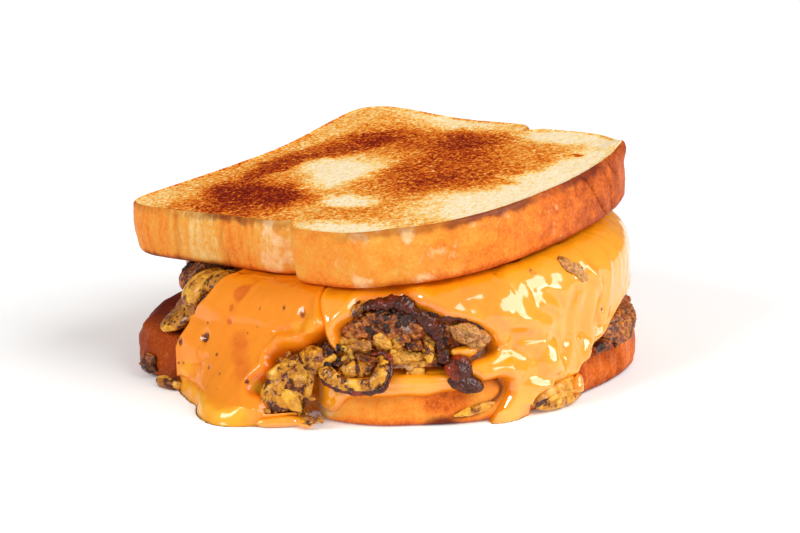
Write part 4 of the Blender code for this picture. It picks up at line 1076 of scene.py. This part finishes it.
def beef_lumps(base, seed):
    """Relief of ground beef from 0 to 1, packed round crumbs of three sizes, and a random number
    for each of the large ones."""
    bent = base + 0.8 * drift(base, 3.0, seed, 2)
    big, own = grains(bent, 4.6, seed)
    mid = grains(bent, 2.1, seed + 3)[0]
    small = grains(base, 1.0, seed + 6)[0]
    fused = 0.18 * waves(base, 1.7, seed + 9, 3, 0.7)
    return 0.50 * (dome(big) * (0.55 + 0.45 * own)) + 0.30 * dome(mid) + 0.14 * dome(small) + fused, own


def fine_patty():
    """Beef patty round its whole side: packed crumbs that stand out where it shows."""
    angle = spaced(-180.0, 180.0, -76.0, -22.0, 0.27, 0.85)[:-1]
    start, top = shoulder(angle)
    edge = lower_edge(angle)
    bottom = lower_top(angle, edge - 8.0) + 3.0
    level = top - (top - bottom) * np.linspace(0.02, 1.0, 92)[:, None]
    wide = np.broadcast_to(angle, level.shape)
    base = lifted(wide, level, 0.0, 0.0)
    lumps, own = beef_lumps(base, 91)
    relief = -PATTY_DOWN - 1.2 * (1.0 - lumps)
    for at, height, half_angle, half_height, stand in PATTY_SHOWS:
        window = 1.0 - (wrapped(wide - at) / half_angle) ** 2 - ((level - height) / half_height) ** 2
        relief = relief + stand * np.sqrt(unit(window)) * (0.25 + 0.95 * lumps)
    x, y = polar(angle, np.array([0.4, 0.8, 0.93])[:, None] * start)
    over = np.stack([x, y, support_height(x, y) - PATTY_DOWN], axis=-1)
    radius = fill_radius(angle) - np.array([5.0, 12.0, 34.0])[:, None]
    under = ring_at(angle, radius, lower_top(angle, np.minimum(radius, edge)) + PATTY_UNDER)
    fields = beef_colours(wide, level, base)
    # Painted shade: char added where the crumbs are low, in the hollows between them; some large crumbs are
    # charred at random.
    fields["char"] = unit(fields["char"] + 0.55 * smooth((0.3 - lumps) / 0.3) + 0.25 * (own > 0.75))
    fields["gold"] = fields["gold"] * (0.5 + 0.5 * (own > 0.3))
    fields = {name: np.pad(values, ((len(over), len(under)), (0, 0))) for name, values in fields.items()}
    x, y = LOWER_CENTRE
    first = (x, y, float(support_height(x, y)) - PATTY_DOWN)
    last = (x, y, float(lower_height(x, y)) + PATTY_UNDER)
    rings = np.concatenate([over, lifted(wide, level, relief, 0.0), under])
    put("beef patty", *ring_body(first, rings, last), "meat", "patty", ring_fields(fields))


def lump(name, slot, stands_for, at, level, long, short, turn, thick, lift, pooled, size, seed, tint):
    """A lumpy piece against the outside: a dome over an uneven round patch, as long and short as
    said and turned, covered in packed grains of the given size. tint is how charred it is. Its char
    and deep fields also carry painted shade in the hollows between its grains."""
    turn = math.radians(turn)
    ring = np.linspace(0.0, 2.0 * math.pi, 84, endpoint=False)
    share = np.sin(np.linspace(0.03, 0.5, 26) * math.pi)[:, None]
    across = share * long * np.cos(ring)
    up = share * short * np.sin(ring)
    flat = np.stack([across, up, np.full_like(across, float(seed) * 7.3)], axis=-1)
    meat = slot == "meat"
    uneven = 1.0 + (0.46 if meat else 0.22) * waves(flat, 0.8 * min(long, short) + 0.6, seed, 2) * share
    across, up = across * uneven, up * uneven
    u = (math.cos(turn) * across - math.sin(turn) * up) / along_wall(1.0)
    v = math.sin(turn) * across + math.cos(turn) * up
    grain, own = grains(flat + 0.5 * size * drift(flat, 1.5 * size, seed, 2), size, seed)
    bumps = 0.7 * dome(grain) + 0.3 * (1.0 - grains(flat, 0.45 * size, seed + 1)[0])
    rounded = dome(share)
    height = thick * (0.22 + 0.78 * rounded) * (0.62 + 0.55 * bumps)
    height = height + meat * (0.7 * waves(flat, 1.5, seed + 4, 3, 0.7) + 0.8 * (bumps - 0.6)) * rounded
    front = draped(at + u, level + v, lift + height, pooled)
    inwards = np.array([0.93, 0.6, 0.3])[:, None]
    back = draped(at + u[-1] * inwards, level + v[-1] * inwards, lift - 0.4, pooled)
    last = draped(at, level, lift - 0.4, pooled)
    # Painted shade: darker where the grains are low, in the hollows between them; random grains are charred
    # for real.
    char = 0.5 * (own > 0.7) - 0.3 * (own < 0.3) + 0.8 * smooth((0.35 - bumps) / 0.3)
    char = unit(tint + (0.6 if meat else 1.0) * char)
    char = np.concatenate([[char[0].mean()], char.ravel(), np.full(len(back) * len(ring) + 1, tint)])
    gold = np.full_like(char, max(0.0, 0.5 - tint))
    put(name, *ring_body(front[0].mean(axis=0), np.concatenate([front, back]), last), slot, stands_for,
        {"char": char, "deep": char, "gold": gold, "grey": gold * (meat and tint >= 0.0)})


def strand(name, slot, stands_for, thick, wide, tint, seed, ragged, route):
    """A strand of onion: a lumpy ellipse carried along its route over the support, thin at both
    ends. thick is its half height off the support and wide its half width on it."""
    s = np.linspace(0.0, 1.0, 40 * (len(route) - 1))
    angle, level, lift = through(route, s).T
    centre = draped(angle, level, lift, 0.0)
    normal = draped(angle, level, lift + 1.0, 0.0) - centre
    side = np.cross(np.gradient(centre, axis=0), normal)
    side /= np.linalg.norm(side, axis=1, keepdims=True)
    turn = np.linspace(0.0, 2.0 * math.pi, 28, endpoint=False)[None, :, None]
    taper = np.sqrt(np.clip(1.0 - np.abs(2.0 * s - 1.0) ** 5, 0.01, 1.0))
    uneven = taper * (1.0 + ragged * waves(centre, 3.4, seed, 2))
    centre = centre + 0.7 * ragged * drift(centre, 3.0, seed + 5, 2)
    rings = centre[:, None] + uneven[:, None, None] * (
        wide * np.cos(turn) * side[:, None] + thick * np.sin(turn) * normal[:, None])
    grain, own = grains(rings, 1.9, seed + 1)
    small = grains(rings, 0.9, seed + 2)[0]
    out = (rings - centre[:, None]) / max(thick, wide)
    rings = rings + out * (1.6 * ragged * (0.9 - grain) + 0.7 * ragged * (0.6 - small))[..., None]
    char = unit(tint + 0.5 * (own > 0.6) - 0.3 * (own < 0.3))
    put(name, *ring_body(centre[0], rings, centre[-1]), slot, stands_for,
        {"char": np.concatenate([[tint], char.ravel(), [tint]])})


def crumbs(name, slot, count, seed, at, level, half_angle, half_level, lifts, radii, tint):
    """Loose bits in one mesh: small uneven beads, a little flat, strewn over an oval of the wall.
    lifts and radii are their least and greatest."""
    draw = np.random.default_rng(seed)
    far, turn = np.sqrt(draw.random(count)), draw.uniform(0.0, 2.0 * math.pi, count)
    angle = at + half_angle * far * np.cos(turn)
    height = level + half_level * far * np.sin(turn)
    lift = lifts[0] + (lifts[1] - lifts[0]) * np.sqrt(1.0 - far ** 2) * draw.uniform(0.4, 1.0, count)
    radius = radii[0] + (radii[1] - radii[0]) * draw.random(count) ** 2
    centre = draped(angle, height, lift)
    normal = draped(angle, height, lift + 1.0) - centre
    ring = np.linspace(0.0, 2.0 * math.pi, 8, endpoint=False)
    down = np.linspace(0.0, math.pi, 7)[1:-1, None]
    bead = np.stack(np.broadcast_arrays(
        np.sin(down) * np.cos(ring), np.sin(down) * np.sin(ring), np.cos(down)), axis=-1)
    ball, caps, quads = ring_body((0.0, 0.0, 1.0), bead, (0.0, 0.0, -1.0))
    side = np.cross(normal, draw.normal(size=(count, 3)))
    side /= np.linalg.norm(side, axis=1, keepdims=True)
    across = np.cross(normal, side)
    long = draw.uniform(1.0, 1.7, count)
    uneven = draw.uniform(0.75, 1.2, (count, len(ball), 1))
    local = ball * uneven * radius[:, None, None]
    points = (centre[:, None] + local[..., :1] * (long[:, None] * side)[:, None]
              + local[..., 1:2] * across[:, None] + 0.7 * local[..., 2:] * normal[:, None])
    offset = len(ball) * np.arange(count)[:, None, None]
    fields = beef_colours(angle, height, centre)
    fields["char"] = unit(0.8 * fields["char"] + tint + draw.uniform(-0.25, 0.2, count))
    fields["gold"] = fields["gold"] + 0.3 * (draw.random(count) < 0.2)
    caps, quads = (caps + offset).reshape(-1, 3), (quads + offset).reshape(-1, 4)
    put(name, points.reshape(-1, 3), caps, quads, slot, "",
        {field: np.repeat(values, len(ball)) for field, values in fields.items()})


# Strands: name, slot, what it stands for, half thickness, half width, how charred, seed, how ragged,
# and its route as (angle, level, lift).
STRANDS = (
    ("charred strand", "onion_dark", "onion_strand", 1.0, 1.5, 0.6, 3, 0.75, (
        (-63.5, 31.4, 0.6), (-59.5, 32.6, 0.9), (-55, 33.2, 1.2), (-51, 32.8, 1.3), (-47.5, 30.6, 1.2),
        (-44.8, 27.8, 1.2), (-43, 24.6, 1.6), (-42.4, 20.6, 1.8), (-41.4, 17.0, 1.8))),
    ("charred edge of the slab", "onion_dark", "", 0.6, 0.8, 0.6, 5, 0.6, (
        (-42.5, 29.8, 1.2), (-38.5, 30.2, 1.2), (-34.5, 28.4, 1.2), (-31.2, 25.4, 1.0), (-29.4, 22.4, 0.6))),
    ("onion curl", "onion", "onion_curl", 1.2, 1.9, 0.25, 7, 0.3, (
        (-67.4, 18.4, 1.8), (-69.6, 16.9, 2.4), (-69.2, 14.6, 2.8), (-65.5, 12.9, 3.0), (-61, 12.5, 3.0),
        (-57.2, 13.9, 3.0), (-55.8, 16.6, 2.4), (-57.4, 18.9, 1.6))),
    ("onion curl skin", "onion_dark", "", 0.6, 0.7, 0.1, 9, 0.3, (
        (-70.4, 17.6, 2.4), (-70.6, 14.4, 3.2), (-66, 11.6, 3.6), (-60.6, 11.0, 3.6), (-55.6, 12.8, 3.6),
        (-54.2, 16.6, 3.0), (-56.0, 19.6, 2.0), (-59.0, 19.6, 1.6))),
    ("onion strand at the end", "onion", "onion_end_strand", 1.4, 1.8, 0.3, 11, 0.3, (
        (-220, 18.6, 0.5), (-215, 21.6, 0.3), (-210, 20.6, 0.3), (-206, 17.6, 0.6), (-201, 18.6, 0.5))),
)
# Lumps: name, slot, what it stands for, angle, level, half length, half width, turn, thickness,
# lift, whether it lies on the pool, grain, seed, and how charred it is.
LUMPS = (
    ("onion tongue", "onion", "onion_tongue", -121.6, 21.6, 7.6, 4.6, 76, 2.4, 0.3, 0, 5.0, 13, 0.1),
    ("chopped onion at the left", "onion", "", -120.4, 26.4, 5.0, 4.6, 45, 3.0, 0.9, 0, 1.9, 14, 0.1),
    ("onion petal at the left", "onion", "", -121.4, 26.8, 3.6, 1.5, 66, 1.8, 2.2, 0, 4.0, 42, 0.0),
    ("chopped onion at the left top", "onion", "", -115.6, 30.0, 3.8, 3.0, 20, 2.4, 0.3, 0, 1.6, 15, 0.5),
    ("beef at the left", "meat", "", -131.2, 30.2, 6.6, 5.4, 40, 3.4, 0.4, 0, 2.4, 16, 0.45),
    ("onion clump", "onion", "onion_clump", -77.4, 10.2, 6.2, 7.8, -6, 3.2, 0.2, 1, 2.2, 17, 0.4),
    ("onion clump top", "onion", "", -73.8, 17.0, 4.6, 3.6, 30, 3.4, 0.3, 1, 1.9, 18, 0.5),
    ("onion petal in the clump", "onion", "", -79.6, 13.4, 4.2, 1.7, 38, 1.8, 2.4, 1, 3.6, 43, 0.0),
    ("onion petal low in the clump", "onion", "", -76.0, 6.0, 4.4, 1.6, -50, 1.8, 2.2, 1, 3.6, 44, 0.0),
    ("onion folds", "cheese_yellow", "onion_folds", -76.6, -1.4, 6.8, 2.2, 8, 1.7, 0.2, 1, 6.0, 19, 0.0),
    ("onion fold top", "cheese_yellow", "", -78.6, 1.2, 5.6, 1.2, 14, 1.6, 0.9, 1, 6.0, 20, 0.0),
    ("onion bits under the clump", "onion", "", -72.4, 1.6, 2.8, 2.2, 20, 2.2, 0.6, 1, 1.5, 21, 0.8),
    ("onion clump at the right", "onion", "onion_clump_right",
     -9.6, 2.4, 11.0, 5.6, 6, 3.2, 0.3, 0, 3.4, 22, 0.0),
    ("pale onion at the right", "cheese_yellow", "", -4.6, 4.6, 2.2, 4.2, -16, 2.6, 2.0, 0, 5.0, 23, 0.0),
    ("onion petal at the right", "onion", "", -9.6, 0.2, 7.0, 1.5, 12, 1.8, 2.8, 0, 5.0, 45, 0.0),
    ("dark bit at the right", "onion_dark", "", -16.6, 1.0, 2.4, 1.6, 10, 2.4, 1.4, 0, 1.4, 24, 0.7),
    ("onion strip", "onion", "onion_strip_right", -34.6, 4.2, 5.6, 1.5, 13, 1.2, 0.1, 0, 5.0, 25, 0.0),
    ("onion on the floor", "onion", "onion_floor_left",
     -117.0, -3.2, 4.4, 2.6, -6, 2.6, 0.3, 0, 2.0, 26, 0.5),
    ("onion clump at the end", "onion", "onion_end_clump", -216, 4.4, 7.0, 3.8, 0, 2.6, 0.2, 0, 2.2, 27, 0.2),
    ("glazed lump", "onion_dark", "onion_lump", -38.6, 16.0, 3.7, 3.4, 0, 3.0, 0.6, 0, 1.8, 28, 0.0),
    ("glazed lump low", "onion_dark", "", -36.8, 12.0, 4.9, 2.3, -16, 2.8, 0.8, 0, 1.3, 29, 0.7),
    ("beef nub at the left", "meat", "meat_nub_left", -126.2, 3.6, 2.6, 3.4, 0, 2.6, 0.0, 0, 2.4, 30, 0.55),
    ("beef nub at the right", "meat", "meat_nub_right", 19.8, 17.2, 9.4, 4.2, 6, 4.2, 0.3, 0, 2.0, 31, 0.2),
    ("beef bit in the cheese", "meat", "meat_bit_right",
     -1.2, 35.9, 2.8, 1.7, -34, 0.5, 2.7, 0, 1.2, 32, 0.02),
    ("second beef bit in the cheese", "meat", "", -4.2, 37.9, 2.6, 1.4, -24, 0.4, 2.7, 0, 1.0, 47, 0.1),
    ("beef under the right sheet", "meat", "", 9.0, 13.4, 5.5, 1.8, 8, 2.4, 0.2, 0, 1.6, 48, 0.45),
    ("beef slab", "meat", "", -35.4, 24.8, 6.8, 3.6, -29, 3.4, 0.8, 0, 1.3, 33, 0.06),
    ("golden lump", "cheese_yellow", "", -36.6, 20.2, 3.8, 1.8, 4, 2.4, 0.8, 0, 3.6, 34, 0.0),
    ("golden lump in the middle", "meat", "", -56.0, 23.4, 3.2, 1.8, -34, 1.8, 1.0, 0, 1.1, 35, -0.06),
    ("golden lump below", "meat", "", -51.4, 19.0, 4.8, 1.8, 4, 1.8, 1.0, 0, 1.1, 36, -0.02),
    ("golden lump at the right", "onion", "", -45.6, 20.6, 1.7, 3.2, 8, 2.4, 1.4, 0, 1.6, 46, 0.1),
    ("grey lump", "meat", "", -61.0, 21.8, 3.2, 2.2, 10, 3.0, 1.2, 0, 1.4, 37, 0.1),
    ("dark lump", "meat", "", -48.4, 22.9, 2.2, 1.6, 0, 2.8, 1.6, 0, 1.1, 38, 0.5),
    ("char at the left", "meat", "", -69.8, 19.0, 1.8, 2.6, 0, 2.2, 1.2, 0, 0.9, 39, 0.6),
    ("char in the curl", "meat", "", -58.6, 17.6, 1.7, 1.2, 0, 1.6, 1.2, 0, 0.9, 40, 0.4),
    ("onion in the curl", "onion", "", -62.6, 15.9, 4.4, 1.9, 0, 2.0, 0.9, 0, 1.6, 49, 0.5),
    ("green onion end", "onion", "", -63.2, 31.4, 2.6, 1.4, 36, 1.2, 0.8, 0, 2.0, 41, 0.3),
)
# Crumbs: name, slot, count, seed, middle angle and level, half widths in degrees and millimetres,
# least and greatest lift, least and greatest radius, and how charred they are.
CRUMBS = (
    ("large crumbs on the patty", "meat", 26, 200, -51, 24.5, 15, 8.5, (-2.2, 1.2), (1.1, 2.4), 0.15),
    ("crumbs on the patty top", "meat", 50, 201, -53, 29.6, 13, 4.2, (-1.6, 1.6), (0.5, 1.3), 0.45),
    ("crumbs on the patty", "meat", 60, 202, -51, 23, 15, 7.5, (-1.8, 1.8), (0.4, 1.2), 0.1),
    ("crumbs under the strand", "meat", 50, 203, -43.5, 25, 2.6, 7, (-0.6, 1.6), (0.5, 1.1), 0.6),
    ("crumbs by the curl", "meat", 60, 204, -68, 18, 5, 5, (-0.6, 2.0), (0.4, 1.1), 0.4),
    ("crumbs in the clump", "onion", 60, 205, -77, 10, 6, 9, (1.8, 2.8), (0.3, 0.9), 0.6),
    ("crumbs on the nub", "meat", 30, 206, 18, 16, 9, 4.5, (0.6, 3.2), (0.5, 1.1), 0.4),
    ("crumbs at the left", "onion", 50, 207, -119, 27.5, 6, 5, (1.4, 2.8), (0.25, 0.7), 0.7),
    ("crumbs under the clump", "onion", 50, 208, -73, 1.5, 4.5, 3.5, (0.8, 2.0), (0.3, 0.8), 0.6),
    ("crumbs at the right foot", "onion", 40, 209, -12, 2.5, 9, 3, (1.4, 2.4), (0.25, 0.7), 0.4),
)


# ---------------------------------------------------------------- stage, light and camera

# The point that the camera and the lights look at, half way up the sandwich. Turns are degrees from
# the front to the right, rises are degrees up, and the lights' distance is in metres.
TARGET = (SHIFT + (0.0, 0.0, 28.0)) * MM
CAMERA_TURN, CAMERA_RISE, CAMERA_AWAY = 39.06, 14.44, 983.8 * MM
CAMERA_LENS, CAMERA_SHIFT = 150.3, (-0.0016, 0.0013)
LIGHTS_AWAY = 3.0
# Lights: name, turn, rise, width, height and power.
LIGHTS = (("key light", 106.0, 42.0, 2.3, 1.9, 62.0), ("fill light", -8.0, 34.0, 0.9, 0.9, 35.0),
          ("low light", 116.0, 17.0, 1.1, 0.7, 18.0))


def direction(turn, rise):
    """Unit vector from the sandwich at a turn from the front to the right and a rise, in degrees."""
    turn, rise = math.radians(turn), math.radians(rise)
    return np.array([math.sin(turn) * math.cos(rise), -math.cos(turn) * math.cos(rise), math.sin(rise)])


def aimed(data, name, turn, rise, away):
    """An object at a distance from the target, pointed at it."""
    made = bpy.data.objects.new(name, data)
    back = direction(turn, rise)
    right = np.array([math.cos(math.radians(turn)), math.sin(math.radians(turn)), 0.0])
    turned = Matrix(np.stack([right, np.cross(back, right), back], axis=1).tolist())
    made.matrix_world = Matrix.Translation(TARGET + back * away) @ turned.to_4x4()
    bpy.context.scene.collection.objects.link(made)
    return made


def softbox(name, turn, rise, wide, tall, power):
    """A rectangular soft light."""
    data = bpy.data.lights.new(name, "AREA")
    data.shape = "RECTANGLE"
    data.size, data.size_y, data.energy = wide, tall, power
    aimed(data, name, turn, rise, LIGHTS_AWAY)


def studio():
    """Pale floor, white surroundings that are darker behind, three soft lights and the camera."""
    scene = bpy.context.scene
    scene.view_settings.view_transform = "Standard"
    floor = bpy.data.meshes.new("floor")
    floor.from_pydata([(-6, -6, 0), (6, -6, 0), (6, 6, 0), (-6, 6, 0)], [], [(0, 1, 2, 3)])
    made, tree, shader, _ = start_finish("white studio floor")
    set_shader(tree, shader, Base_Color=colour("#fbfbfa"), Roughness=0.9, Specular_IOR_Level=0.0,
               Emission_Color=colour("#ffffff"), Emission_Strength=0.13)
    floor.materials.append(made)
    floor = bpy.data.objects.new("floor", floor)
    scene.collection.objects.link(floor)
    world = bpy.data.worlds.new("studio")
    world.use_nodes = True
    tree, sky = world.node_tree, world.node_tree.nodes["Background"]
    place = add(tree, "ShaderNodeTexCoord").outputs["Generated"]
    back = add(tree, "ShaderNodeVectorMath", {0: place, 1: -direction(CAMERA_TURN, 0.0)},
               operation="DOT_PRODUCT").outputs["Value"]
    back = add(tree, "ShaderNodeMapRange", {0: back, 1: 0.0, 2: 0.75, 3: 0.5, 4: 0.16}).outputs[0]
    sky.inputs["Color"].default_value = (1.0, 1.0, 1.0, 1.0)
    tree.links.new(back, sky.inputs["Strength"])
    scene.world = world
    for light in LIGHTS:
        softbox(*light)
    lens = bpy.data.cameras.new("camera")
    lens.lens = CAMERA_LENS
    lens.clip_start, lens.clip_end = 0.05, 30.0
    lens.shift_x, lens.shift_y = CAMERA_SHIFT
    scene.camera = aimed(lens, "camera", CAMERA_TURN, CAMERA_RISE, CAMERA_AWAY)


fine_upper_slice()
fine_lower_slice()
all_cheese()
fine_patty()
for make, rows in ((strand, STRANDS), (lump, LUMPS), (crumbs, CRUMBS)):
    for row in rows:
        make(*row)
studio()
